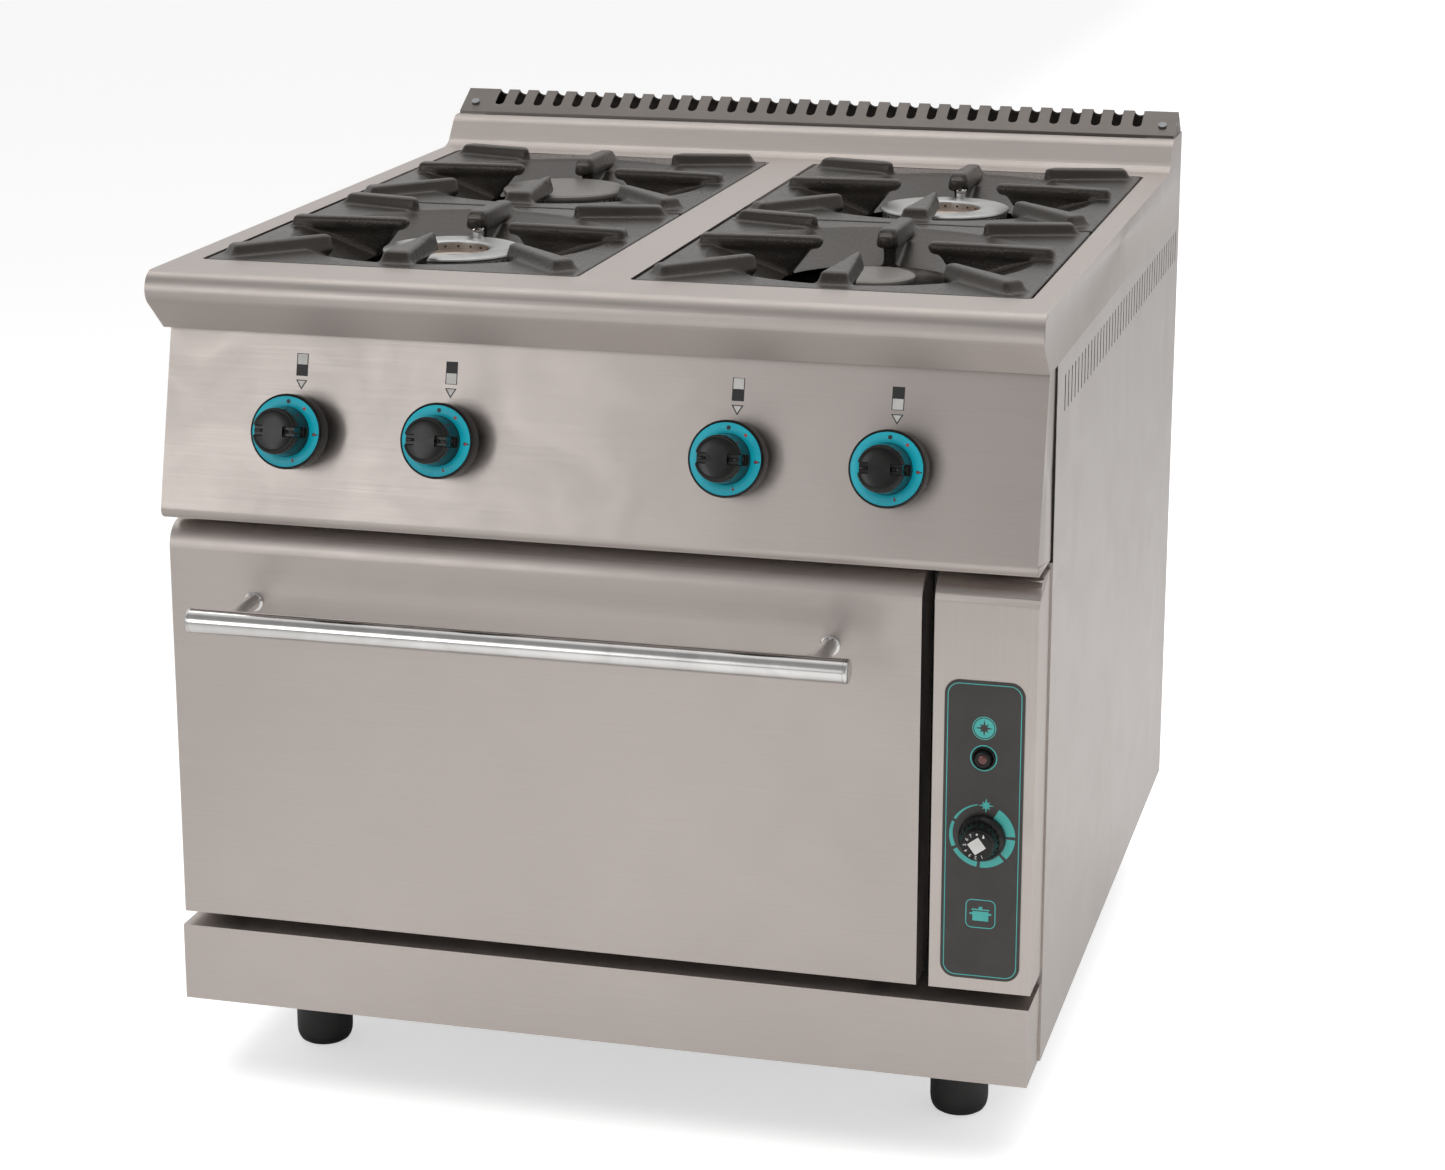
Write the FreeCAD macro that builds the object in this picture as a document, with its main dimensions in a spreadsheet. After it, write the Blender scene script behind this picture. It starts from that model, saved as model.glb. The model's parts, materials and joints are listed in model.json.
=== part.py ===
"""Commercial gas range: four open burners over a drop-door oven.

Millimetres. X runs to the right seen from the front, Y to the back, +Z up.
The origin is on the floor, under the middle of the range with its door handle.
"""
import FreeCAD
import Part
import Sketcher
import math
import os
import re

# ---------------------------------------------------------------- sizes

SIZES = {
    # whole range
    "worktop_width": 800,
    "worktop_depth": 900,
    "worktop_height": 780,
    "sheet": 1.5,
    "panel_inset": 2,
    "fit_gap": 0.5,
    # heights of the front, from the floor up and from the worktop down
    "base_height": 87,
    "plinth_height": 73,
    "plinth_setback": 19,
    "door_bottom_gap": 11.4,
    "nose_height": 56.4,
    "nose_radius": 16.4,
    "nose_undercut": 37.2,
    "nose_slant": 48.8,
    "nose_overhang": 24.9,
    "panel_height": 170.3,
    "panel_tilt": 13.67,
    "panel_top_setback": 48.8,
    "panel_edge_radius": 9,
    "panel_gap": 8.3,
    "side_seam_height": 549.7,
    "flange_width": 16,
    "vent_front_margin": 40.5,
    "vent_rear_margin": 27,
    "vent_drop": 16.5,
    "vent_height": 33,
    "vent_width": 4,
    "vent_slots": 41,
    # rear upstand and flue cover
    "upstand_height": 31,
    "upstand_depth": 98,
    "upstand_run": 26,
    "upstand_foot_radius": 25,
    "upstand_top_radius": 18,
    "flue_depth": 59,
    "flue_inset": 1.6,
    "flue_ridge_rise": 54.5,
    "flue_ridge_setback": 22,
    "flue_lip": 3,
    "flue_slots": 33,
    "flue_slot_width": 10,
    "flue_slot_margin": 41.5,
    "flue_slot_front": 12,
    "flue_screw_margin": 14,
    "flue_screw_up": 16,
    "duct_width": 300,
    "duct_depth": 36,
    "duct_setback": 27,
    "duct_leg_height": 42,
    "back_setback": 25,
    # wells and drip trays
    "well_bridge": 46.8,
    "well_side_margin": 22.5,
    "well_front_margin": 73.7,
    "well_rear_margin": 128.2,
    "well_rim": 4.5,
    "tray_depth": 62,
    "tray_ledge": 10,
    "tray_flange": 11,
    # grates
    "grate_gap": 2,
    "grate_corner_radius": 6,
    "bowl_margin": 22.525,
    "throat_radius": 80,
    "bowl_depth": 26,
    "rib_rise": 12,
    "rib_width": 20,
    "rib_draft": 22,
    "web_thickness": 14,
    "rib_tip_radius": 50,
    "rib_side_y": 19,
    "rib_front_y": 47,
    "rib_back_y": 69,
    "rib_root": 1,
    "corner_rib_x": 94,
    "corner_rib_y": 88,
    "corner_rib_inset": 8,
    "corner_rib_margin": 20,
    "rear_rib_x": 90,
    "rear_rib_drop": 36,
    "rear_rib_inset": 4,
    "rear_rib_margin": 10,
    "front_rib_width": 24,
    "rear_finger_width": 32,
    "bowl_wall": 5,
    # burners
    "ring_radius": 65,
    "ring_hole": 35.5,
    "ring_top_drop": 11,
    "cap_large_radius": 63,
    "cap_small_radius": 41,
    "cap_large_drop": 7,
    "cap_small_drop": 17,
    "crown_thickness": 12,
    "cup_wall": 3,
    "port_count": 36,
    "port_width": 3,
    "venturi_radius": 14,
    "venturi_gap": 71.94,
    # gas supply
    "manifold_radius": 10.5,
    "manifold_wall": 2,
    "tap_depth": 46,
    "tap_width": 28,
    "manifold_inset": 74,
    "inlet_radius": 10.48,
    "inlet_thread_length": 15,
    "inlet_side_margin": 70,
    "injector_radius": 4,
    "pipe_inset": 50,
    "pipe_low": 590,
    # burner knobs
    "knob_outer_x": 270,
    "knob_inner_x": 130,
    "knob_up_panel": 86,
    "spindle_radius": 5,
    "spindle_clearance": 0.05,
    "spindle_reach": 34,
    "panel_hole_radius": 9,
    "knob_stand_off": 12,
    "dial_radius": 33.5,
    "dial_depth": 20,
    "grip_radius": 22,
    "grip_top_radius": 20,
    "grip_height": 30,
    "grip_bar_width": 15,
    "grip_bar_drop": 9,
    # door
    "door_depth": 50,
    "door_gap": 4,
    "door_edge_radius": 22,
    "column_width": 90.2,
    "column_gap": 11.3,
    "handle_offset": 70,
    "handle_diameter": 22,
    "handle_length": 600,
    "handle_wall": 2,
    "post_spacing": 534,
    "post_diameter": 14,
    "post_screw_radius": 4,
    "cap_length": 4,
    "inner_pan_depth": 20,
    "hinge_up": 10.6,
    "hinge_in": 10,
    "hinge_pin_radius": 4,
    "hinge_clearance": 0.05,
    "hinge_boss_radius": 7.5,
    "hinge_arm": 6,
    "hinge_inset": 40,
    "hinge_slot": 16,
    "hinge_slot_height": 30,
    "cheek": 3,
    # oven
    "oven_width": 575,
    "oven_height": 290,
    "oven_rear_gap": 66.6,
    "oven_floor_height": 214,
    "insulation": 30,
    "sole_thickness": 6,
    "sole_gap": 8,
    "runner_radius": 4,
    "runner_offset": 14,
    "rack_height": 355,
    "rack_radius": 4,
    "rack_wire_radius": 2.5,
    "rack_front_gap": 30,
    "rack_rear_gap": 60,
    "rack_wires": 13,
    "rack_pitch": 62,
    "gasket_section": 3.6,
    "gasket_width": 10,
    "gasket_margin": 8,
    "oven_burner_radius": 14,
    "oven_burner_height": 172,
    # oven controls
    "overlay_width": 70,
    "overlay_height": 273,
    "overlay_bottom": 183,
    "overlay_radius": 13,
    "overlay_thickness": 1,
    "oven_knob_height": 316,
    "oven_knob_radius": 20.5,
    "oven_knob_skirt": 11,
    "oven_knob_depth": 27,
    "oven_grip_width": 12,
    "igniter_height": 387,
    "igniter_radius": 9,
    "igniter_rise": 6.5,
    "igniter_flange_radius": 12,
    "igniter_depth": 40,
    "oven_knob_gap": 1.5,
    # feet
    "foot_travel": 70,
    "foot_x_margin": 86,
    "foot_front_margin": 152,
    "foot_rear_margin": 80,
    "sleeve_radius": 30,
    "sleeve_height": 45,
    "foot_radius": 27,
    "foot_toe_radius": 23,
    "foot_taper": 14,
    "stud_radius": 8,
    # fasteners
    "screw_head_radius": 4.5,
    "screw_head_height": 2.4,
    "screw_radius": 2,
}

# Places and lengths that follow from the sizes.
PLACES = {
    "half_width": "worktop_width / 2",
    "body_half": "half_width - panel_inset",
    "front_reach": "handle_offset + handle_diameter / 2 - nose_overhang",
    "y_back": "(worktop_depth + front_reach) / 2",
    "y_nose": "y_back - worktop_depth",
    "y_door": "y_nose + nose_overhang",
    "y_frame": "y_door + door_depth + door_gap",
    "y_plinth": "y_nose + plinth_setback",
    "y_back_panel": "y_back - back_setback",
    "z_seam": "worktop_height - nose_height",
    "z_panel_bottom": "z_seam - panel_height",
    "z_door_top": "z_panel_bottom - panel_gap",
    "z_plinth_top": "base_height + plinth_height",
    "z_door_bottom": "z_plinth_top + door_bottom_gap",
    "y_panel_top": "y_nose + panel_top_setback",
    "y_panel_bottom": "y_panel_top - panel_height * tan(panel_tilt * 1deg)",
    "x_well_in": "well_bridge / 2",
    "x_well_out": "half_width - well_side_margin",
    "y_well_front": "y_nose + well_front_margin",
    "y_well_rear": "y_back - well_rear_margin",
    "grate_half_x": "(x_well_out - x_well_in) / 2 - grate_gap",
    "grate_half_y": "(y_well_rear - y_well_front) / 4 - grate_gap",
    "bowl_radius": "min(grate_half_x; grate_half_y) - bowl_margin",
    "x_grate": "(x_well_out + x_well_in) / 2",
    "y_grate_front": "y_well_front + (y_well_rear - y_well_front) / 4",
    "y_grate_rear": "y_well_rear - (y_well_rear - y_well_front) / 4",
    "z_ledge": "worktop_height - well_rim",
    "z_tray": "z_ledge - tray_depth",
    "y_knob": "y_panel_bottom + knob_up_panel * sin(panel_tilt * 1deg)",
    "z_knob": "z_panel_bottom + knob_up_panel * cos(panel_tilt * 1deg)",
    "y_pipe_start": "y_knob + pipe_inset * cos(panel_tilt * 1deg)",
    "venturi_length": "y_grate_front - y_pipe_start - venturi_gap",
    "y_manifold": "y_knob + manifold_inset * cos(panel_tilt * 1deg)",
    "z_manifold": "z_knob - manifold_inset * sin(panel_tilt * 1deg)",
    "x_column_right": "body_half",
    "x_column_left": "body_half - column_width",
    "x_column": "body_half - column_width / 2",
    "x_door_left": "0 - body_half",
    "x_door_right": "x_column_left - column_gap",
    "x_door": "(x_door_left + x_door_right) / 2",
    "y_handle": "y_door - handle_offset",
    "z_handle": "z_door_top - 67.5",
    "y_hinge": "y_door + hinge_in",
    "z_hinge": "z_door_bottom + hinge_up",
    "x_oven_left": "x_door - oven_width / 2",
    "x_oven_right": "x_door + oven_width / 2",
    "z_oven_top": "oven_floor_height + oven_height",
    "y_oven_back": "y_duct_front - oven_rear_gap",
    "x_inlet": "half_width - inlet_side_margin",
    "y_inlet_thread": "y_back_panel + 3",
    "y_duct_rear": "y_back - duct_setback - sheet",
    "y_duct_front": "y_duct_rear - duct_depth",
    "z_overlay_top": "overlay_bottom + overlay_height",
    "y_overlay": "y_door - overlay_thickness",
    "flue_slope": "atan((flue_ridge_rise - upstand_height - flue_lip)"
                  " / (flue_depth - flue_ridge_setback))",
}

DOC = FreeCAD.newDocument("GasRange")
SHEET = DOC.addObject("Spreadsheet::Sheet", "dims")
PARTS = {}

X = FreeCAD.Vector(1, 0, 0)
Y = FreeCAD.Vector(0, 1, 0)
Z = FreeCAD.Vector(0, 0, 1)
ORIGIN = FreeCAD.Vector(0, 0, 0)


def fill_sheet():
    """Write every driving size into the sheet under its own alias."""
    for row, (alias, number) in enumerate(SIZES.items(), start=1):
        SHEET.set("A%d" % row, alias)
        SHEET.set("B%d" % row, str(number))
        SHEET.setAlias("B%d" % row, alias)
    DOC.recompute()


def formula(text):
    """Turn a formula of size and place names into a sheet expression."""
    def named(match):
        word = match.group(0)
        if word in PLACES:
            return "(" + formula(PLACES[word]) + ")"
        if word in SIZES:
            return "dims." + word
        return word
    return re.sub(r"[a-z]\w*", named, str(text))


def value(text):
    """The present value of a formula."""
    return float(SHEET.evalExpression(formula(text)))


def keep(name, shape_object):
    """Make an object the sub-part of that name."""
    shape_object.Label = name
    PARTS[name] = shape_object
    return shape_object


def place(item, x="0", y="0", z="0"):
    """Bind the place of an object's origin."""
    for axis, text in zip("xyz", (x, y, z)):
        item.setExpression("Placement.Base." + axis, formula(text))
    return item


# ---------------------------------------------------------------- primitives

def box(x_range, y_range, z_range, name="Block"):
    """A rectangular block between two places along each axis."""
    block = DOC.addObject("Part::Box", name)
    sides = ("Length", "Width", "Height")
    for side, (low, high) in zip(sides, (x_range, y_range, z_range)):
        block.setExpression(side, formula("(%s) - (%s)" % (high, low)))
    return place(block, x_range[0], y_range[0], z_range[0])


def cylinder(radius, length, x, y, z, along=Z, name="Rod"):
    """A round bar that starts at a place and runs along an axis."""
    rod = DOC.addObject("Part::Cylinder", name)
    rod.setExpression("Radius", formula(radius))
    rod.setExpression("Height", formula(length))
    rod.Placement = FreeCAD.Placement(ORIGIN, FreeCAD.Rotation(Z, along))
    return place(rod, x, y, z)


def cone(radius_1, radius_2, length, x, y, z, name="Taper"):
    """A tapered round bar, upward from a place."""
    taper = DOC.addObject("Part::Cone", name)
    taper.setExpression("Radius1", formula(radius_1))
    taper.setExpression("Radius2", formula(radius_2))
    taper.setExpression("Height", formula(length))
    return place(taper, x, y, z)


def fuse(*shapes, name="Joined"):
    """Several shapes as one."""
    joined = DOC.addObject("Part::MultiFuse", name)
    joined.Shapes = list(shapes)
    joined.Refine = True
    return joined


def cut(base, *tools, name="Cut"):
    """A shape with other shapes taken away."""
    result = DOC.addObject("Part::Cut", name)
    result.Base = base
    result.Tool = tools[0] if len(tools) == 1 else fuse(*tools, name="Tools")
    return result


def group(name, shapes):
    """Separate solids that are the same kind of piece, as one sub-part."""
    together = DOC.addObject("Part::Compound", "Group")
    together.Links = list(shapes)
    return keep(name, together)


# ---------------------------------------------------------------- bodies

def new_body(name):
    """An empty PartDesign body for the sub-part of that name."""
    return keep(name, DOC.addObject("PartDesign::Body", "Body"))


def plane_of(body, role):
    """One of a body's own origin planes or axes."""
    return next(item for item in body.Origin.OriginFeatures if item.Role == role)


def new_sketch(body, role="XY_Plane", offset="0"):
    """A sketch on an origin plane, moved along the plane's normal."""
    sketch = body.newObject("Sketcher::SketchObject", "Sketch")
    sketch.AttachmentSupport = [(plane_of(body, role), "")]
    sketch.MapMode = "FlatFace"
    sketch.setExpression("AttachmentOffset.Base.z", formula(offset))
    return sketch


def pin_point(sketch, geometry, end, u, v):
    """Bind a point of a sketch to two formulas."""
    for kind, text in (("DistanceX", u), ("DistanceY", v)):
        number = sketch.addConstraint(
            Sketcher.Constraint(kind, -1, 1, geometry, end, value(text)))
        sketch.setExpression("Constraints[%d]" % number, formula(text))


def outline(sketch, corners):
    """A closed loop through corners (u, v) or (u, v, radius of rounding)."""
    points = [FreeCAD.Vector(value(c[0]), value(c[1]), 0) for c in corners]
    radii = [value(c[2]) if len(c) > 2 else 0 for c in corners]
    count = len(corners)
    starts = []
    ends = []
    for i, point in enumerate(points):
        before = (points[i - 1] - point).normalize()
        after = (points[(i + 1) % count] - point).normalize()
        reach = radii[i] / math.tan(before.getAngle(after) / 2) if radii[i] else 0
        ends.append(point + before * reach)
        starts.append(point + after * reach)
    lines = []
    for i in range(count):
        following = (i + 1) % count
        segment = Part.LineSegment(starts[i], ends[following])
        lines.append(sketch.addGeometry(segment, False))
    for i, corner in enumerate(corners):
        before, after = lines[i - 1], lines[i]
        if not radii[i]:
            sketch.addConstraint(Sketcher.Constraint("Coincident", before, 2, after, 1))
            pin_point(sketch, after, 1, corner[0], corner[1])
            continue
        round_corner(sketch, before, after, points[i], ends[i], starts[i], corner)
    return sketch


def round_corner(sketch, before, after, point, arc_start, arc_end, corner):
    """Join two lines of an outline by a tangent arc about their corner."""
    middle_way = (arc_start + arc_end) * 0.5 - point
    radius = value(corner[2])
    half_chord = (arc_end - arc_start).Length / 2
    reach = (arc_start - point).Length
    centre_distance = math.hypot(radius, reach)
    centre = point + middle_way.normalize() * centre_distance
    sagitta = radius - math.sqrt(max(radius ** 2 - half_chord ** 2, 0))
    crown = (arc_start + arc_end) * 0.5 + (point - centre).normalize() * sagitta
    arc = sketch.addGeometry(Part.Arc(arc_start, crown, arc_end), False)
    ccw = (arc_start - centre).cross(arc_end - centre).z > 0
    first, last = (1, 2) if ccw else (2, 1)
    sketch.addConstraint(Sketcher.Constraint("Tangent", before, 2, arc, first))
    sketch.addConstraint(Sketcher.Constraint("Tangent", after, 1, arc, last))
    number = sketch.addConstraint(Sketcher.Constraint("Radius", arc, radius))
    sketch.setExpression("Constraints[%d]" % number, formula(corner[2]))
    mark = sketch.addGeometry(Part.Point(point), True)
    pin_point(sketch, mark, 1, corner[0], corner[1])
    for line in (before, after):
        sketch.addConstraint(Sketcher.Constraint("PointOnObject", mark, 1, line))


def ring(sketch, radius, u="0", v="0"):
    """A circle bound to a radius and a centre."""
    circle = Part.Circle(FreeCAD.Vector(value(u), value(v), 0), Z, value(radius))
    loop = sketch.addGeometry(circle, False)
    number = sketch.addConstraint(Sketcher.Constraint("Radius", loop, value(radius)))
    sketch.setExpression("Constraints[%d]" % number, formula(radius))
    pin_point(sketch, loop, 3, u, v)


def rectangle(u_range, v_range, radius=None):
    """The four corners of a rectangle, rounded if a radius is given."""
    corners = [(u_range[0], v_range[0]), (u_range[1], v_range[0]),
               (u_range[1], v_range[1]), (u_range[0], v_range[1])]
    return [corner + (radius,) for corner in corners] if radius else corners


def extrude(body, sketch, length, kind="Pad", reverse=False, midplane=False):
    """A Pad or Pocket of a sketch."""
    feature = body.newObject("PartDesign::" + kind, kind)
    feature.Profile = sketch
    feature.setExpression("Length", formula(length))
    feature.Reversed = reverse
    feature.Midplane = midplane
    body.Tip = feature
    return feature


def revolve(body, sketch, kind="Revolution", role="Z_Axis"):
    """A full turn of a sketch about one of the body's axes."""
    feature = body.newObject("PartDesign::" + kind, kind)
    feature.Profile = sketch
    feature.ReferenceAxis = (plane_of(body, role), [""])
    feature.Angle = 360
    body.Tip = feature
    return feature


def faces_at(feature, places):
    """Names of a feature's flat faces whose middles are nearest to the places."""
    DOC.recompute()
    names = []
    for x, y, z in places:
        mark = Part.Vertex(value(x), value(y), value(z))
        gaps = [face.distToShape(mark)[0] for face in feature.Shape.Faces]
        names.append("Face%d" % (gaps.index(min(gaps)) + 1))
    return names


def hollow(body, feature, open_places, wall="sheet"):
    """Turn a solid into a bent sheet that is open at the given places."""
    shell = body.newObject("PartDesign::Thickness", "Shell")
    shell.Base = (feature, faces_at(feature, open_places))
    shell.setExpression("Value", formula(wall))
    shell.Reversed = True
    body.Tip = shell
    return shell


def repeat(body, feature, role, length, count):
    """Copies of a feature in a row along one of the body's axes."""
    row = body.newObject("PartDesign::LinearPattern", "Row")
    row.Originals = [feature]
    row.Direction = (plane_of(body, role), [""])
    row.setExpression("Length", formula(length))
    row.setExpression("Occurrences", formula(count))
    body.Tip = row
    return row


def repeat_round(body, feature, count):
    """Copies of a feature round the body's Z axis."""
    turn = body.newObject("PartDesign::PolarPattern", "Turn")
    turn.Originals = [feature]
    turn.Axis = (plane_of(body, "Z_Axis"), [""])
    turn.Angle = 360
    turn.setExpression("Occurrences", formula(count))
    body.Tip = turn
    return turn


def mirror(body, features, role="YZ_Plane"):
    """The mirror image of features across one of the body's planes."""
    image = body.newObject("PartDesign::Mirrored", "Mirror")
    image.Originals = list(features)
    image.MirrorPlane = (plane_of(body, role), [""])
    body.Tip = image
    return image


def box_body(name, x_range, y_range, z_range, open_places=(), wall="sheet"):
    """A bent-sheet box: a padded rectangle, hollowed from its open sides."""
    body = DOC.addObject("PartDesign::Body", "Body")
    body.Label = name
    sketch = outline(new_sketch(body, "XY_Plane", z_range[0]), rectangle(x_range, y_range))
    block = extrude(body, sketch, "(%s) - (%s)" % (z_range[1], z_range[0]))
    if open_places:
        hollow(body, block, open_places, wall)
    return body


def box_part(name, *sides, **options):
    """A bent-sheet box that is a sub-part as it is."""
    return keep(name, box_body(name, *sides, **options))


# ---------------------------------------------------------------- places on the sloped panel

def on_panel(item, x, depth="0"):
    """Stand an item on the sloped panel, Z outward, at a depth behind its face."""
    item.Placement = FreeCAD.Placement(ORIGIN, FreeCAD.Rotation(X, 76))
    item.setExpression("Placement.Rotation.Angle", formula("(90 - panel_tilt) * 1deg"))
    return place(item, x,
                 "y_knob + (%s) * cos(panel_tilt * 1deg)" % depth,
                 "z_knob - (%s) * sin(panel_tilt * 1deg)" % depth)


def on_front(item, x, y, z):
    """Stand an item on the upright front, Z outward."""
    item.Placement = FreeCAD.Placement(ORIGIN, FreeCAD.Rotation(X, 90))
    return place(item, x, y, z)


def panel_rod(radius, x, deep, shallow):
    """A round bar square to the panel between two depths behind its face."""
    rod = cylinder(radius, "(%s) - (%s)" % (deep, shallow), "0", "0", "0")
    return on_panel(rod, x, deep)


def front_rod(radius, x, z, y_deep, y_shallow):
    """A round bar along Y between two places."""
    return cylinder(radius, "(%s) - (%s)" % (y_deep, y_shallow), x, y_shallow, z, Y)


# ---------------------------------------------------------------- cabinet

def base_frame():
    """The floor pan that carries the feet, with a clearance hole over each."""
    edge = "half_width - sheet - fit_gap"
    pan = box_body("base_pan", ("0 - (%s)" % edge, edge),
                   ("y_frame + sheet + fit_gap", "y_back_panel - sheet - fit_gap"),
                   ("base_height", "base_height + 40"),
                   [("0", "0", "base_height + 40")])
    holes = [cylinder("stud_radius + 1", "20", x, y, "base_height - 10")
             for x, y in FOOT_PLACES]
    keep("base_frame", cut(pan, *holes))


def plinth():
    """The kick strip under the door."""
    box_part("plinth", ("0 - body_half", "body_half"), ("y_plinth", "y_frame"),
             ("base_height", "z_plinth_top"),
             [("0", "y_frame", "base_height + 30"), ("0", "y_plinth + 30", "base_height")])


def side_panel(name, side, low, high, vents=False):
    """One side sheet with a front flange; side is 1 on the right, -1 on the left."""
    body = new_body(name)
    outer = "%d * half_width" % side
    inner = "%d * (half_width - sheet)" % side
    flange = "%d * (half_width - flange_width)" % side
    sketch = outline(new_sketch(body, "XY_Plane", low),
                     [(outer, "y_frame"), (outer, "y_back"), (inner, "y_back"),
                      (inner, "y_frame + sheet"), (flange, "y_frame + sheet"),
                      (flange, "y_frame")])
    extrude(body, sketch, "(%s) - (%s)" % (high, low))
    if vents:
        vent_slots(body, side)


def vent_slots(body, side):
    """A row of upright slots through a side sheet, near its top."""
    sketch = new_sketch(body, "YZ_Plane", "%d * half_width - 5" % side)
    first = "y_frame + vent_front_margin"
    outline(sketch, rectangle((first, "%s + vent_width" % first),
                              ("z_seam - vent_drop - vent_height", "z_seam - vent_drop"),
                              "vent_width / 2 - 0.2"))
    slot = extrude(body, sketch, "10", "Pocket", reverse=True)
    repeat(body, slot, "Y_Axis", "y_back - vent_rear_margin - (%s)" % first, "vent_slots")


def back_panel():
    """The rear sheet, set in from the back edge, with the gas inlet hole."""
    edge = "half_width - sheet - fit_gap"
    sheet = box(("0 - (%s)" % edge, edge), ("y_back_panel - sheet", "y_back_panel"),
                ("base_height", "z_seam"))
    hole = front_rod("manifold_radius + 1", "x_inlet", "z_manifold",
                     "y_back", "y_back_panel - 10")
    keep("back_panel", cut(sheet, hole))


def worktop():
    """The pressed top: bullnose front, two rimmed wells and the rear upstand."""
    body = new_body("worktop")
    upstand = "worktop_height + upstand_height"
    nose_corner = "y_nose + nose_undercut - nose_height * tan(nose_slant * 1deg)"
    section = outline(new_sketch(body, "YZ_Plane"), [
        ("y_nose + nose_undercut", "z_seam"),
        (nose_corner, "worktop_height", "nose_radius"),
        ("y_back - upstand_depth", "worktop_height", "upstand_foot_radius"),
        ("y_back - upstand_depth + upstand_run", upstand, "upstand_top_radius"),
        ("y_back", upstand),
        ("y_back", "z_seam")])
    block = extrude(body, section, "worktop_width", midplane=True)
    hollow(body, block, [("0", "0", "z_seam")])
    rims = new_sketch(body, "XY_Plane", "worktop_height")
    wells = new_sketch(body, "XY_Plane", "worktop_height + 1")
    for side in (-1, 1):
        x_low, x_high = well_span(side)
        outline(rims, rectangle(("%s - sheet" % x_low, "%s + sheet" % x_high),
                                ("y_well_front - sheet", "y_well_rear + sheet"),
                                "grate_corner_radius + sheet"))
        outline(wells, rectangle((x_low, x_high), ("y_well_front", "y_well_rear"),
                                 "grate_corner_radius"))
    extrude(body, rims, "well_rim", reverse=True)
    extrude(body, wells, "well_rim + 2", "Pocket")
    vent = outline(new_sketch(body, "XY_Plane", "%s + 1" % upstand),
                   rectangle(("0 - half_width + 30", "half_width - 30"),
                             ("y_duct_front + sheet", "y_duct_rear - sheet")))
    extrude(body, vent, "sheet + 2", "Pocket")


def well_span(side):
    """The X range of the well on one side."""
    if side > 0:
        return "x_well_in", "x_well_out"
    return "0 - x_well_out", "0 - x_well_in"


def flue_cover():
    """The ridged and slotted strip along the rear upstand."""
    body = DOC.addObject("PartDesign::Body", "CoverSheet")
    foot = "worktop_height + upstand_height"
    ridge = "worktop_height + flue_ridge_rise"
    edge = "half_width - flue_inset"
    section = outline(new_sketch(body, "YZ_Plane"), [
        ("y_back - flue_depth", foot),
        ("y_back - flue_depth", foot + " + flue_lip"),
        ("y_back - flue_ridge_setback", ridge),
        ("y_back", foot + " + flue_lip"),
        ("y_back", foot)])
    block = extrude(body, section, "2 * (%s)" % edge, midplane=True)
    hollow(body, block, [("0", "y_back - flue_depth / 2", foot)])
    first = "flue_slot_margin - (%s)" % edge
    slot = outline(new_sketch(body, "XY_Plane", ridge + " + 1"), rectangle(
        (first + " - flue_slot_width / 2", first + " + flue_slot_width / 2"),
        ("y_back - flue_depth + flue_slot_front", "y_back - flue_ridge_setback + 6"),
        "flue_slot_width / 2 - 0.3"))
    opening = extrude(body, slot, "flue_ridge_rise - upstand_height + 2", "Pocket")
    repeat(body, opening, "X_Axis", "2 * (%s - flue_slot_margin)" % edge, "flue_slots")
    holes = [cover_screw("screw_radius + 0.2", "0 - 4 * sheet", "sheet", side)
             for side in (-1, 1)]
    keep("flue_cover", cut(body, *holes))


def cover_screw(radius, low, high, side):
    """A round bar square to the cover's front slope, near one end of the cover."""
    rod = cylinder(radius, "(%s) - (%s)" % (high, low), "0", "0", "0")
    rod.Placement = FreeCAD.Placement(ORIGIN, FreeCAD.Rotation(X, 30))
    rod.setExpression("Placement.Rotation.Angle", formula("flue_slope"))
    run = "(flue_screw_up * cos(flue_slope) - (%s) * sin(flue_slope))" % low
    rise = "(flue_screw_up * sin(flue_slope) + (%s) * cos(flue_slope))" % low
    return place(rod, "%d * (half_width - flue_inset - flue_screw_margin)" % side,
                 "y_back - flue_depth + " + run,
                 "worktop_height + upstand_height + flue_lip + " + rise)


def flue_screws():
    """The two small screws that hold the flue cover down at its ends."""
    group("flue_screws", [
        fuse(cover_screw("screw_head_radius", "0", "screw_head_height", side),
             cover_screw("screw_radius", "0 - 2 * sheet", "screw_head_height / 2", side))
        for side in (-1, 1)])


def flue_duct():
    """The chimney from the oven's back wall up to the slotted cover."""
    low = "z_oven_top - duct_leg_height"
    x_low = "x_door - duct_width / 2"
    x_high = "x_door + duct_width / 2"
    top = "worktop_height + upstand_height - sheet - fit_gap"
    outer = fuse(
        box((x_low, x_high), ("y_duct_front", "y_duct_rear"), (low, top)),
        box((x_low, x_high), ("y_oven_back + sheet", "y_duct_front + sheet"),
            (low, "z_oven_top")))
    x_inner = (x_low + " + sheet", x_high + " - sheet")
    inside = fuse(
        box(x_inner, ("y_duct_front + sheet", "y_duct_rear - sheet"),
            (low + " + sheet", top + " + sheet")),
        box(x_inner, ("y_oven_back", "y_duct_front + 2 * sheet"),
            (low + " + sheet", "z_oven_top - sheet")))
    keep("flue_duct", cut(outer, inside))


# ---------------------------------------------------------------- gas controls

def control_panel():
    """The sloped front with a hole for each burner spindle."""
    body = DOC.addObject("PartDesign::Body", "PanelSheet")
    section = outline(new_sketch(body, "YZ_Plane"), [
        ("y_panel_top", "z_seam"),
        ("y_panel_bottom", "z_panel_bottom", "panel_edge_radius"),
        ("y_frame", "z_panel_bottom"),
        ("y_frame", "z_seam")])
    block = extrude(body, section, "2 * body_half", midplane=True)
    hollow(body, block, [("0", "y_frame", "z_seam - panel_height / 2")])
    holes = [panel_rod("panel_hole_radius", x, "10", "0 - 10") for x in KNOB_PLACES]
    keep("control_panel", cut(body, *holes))


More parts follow.
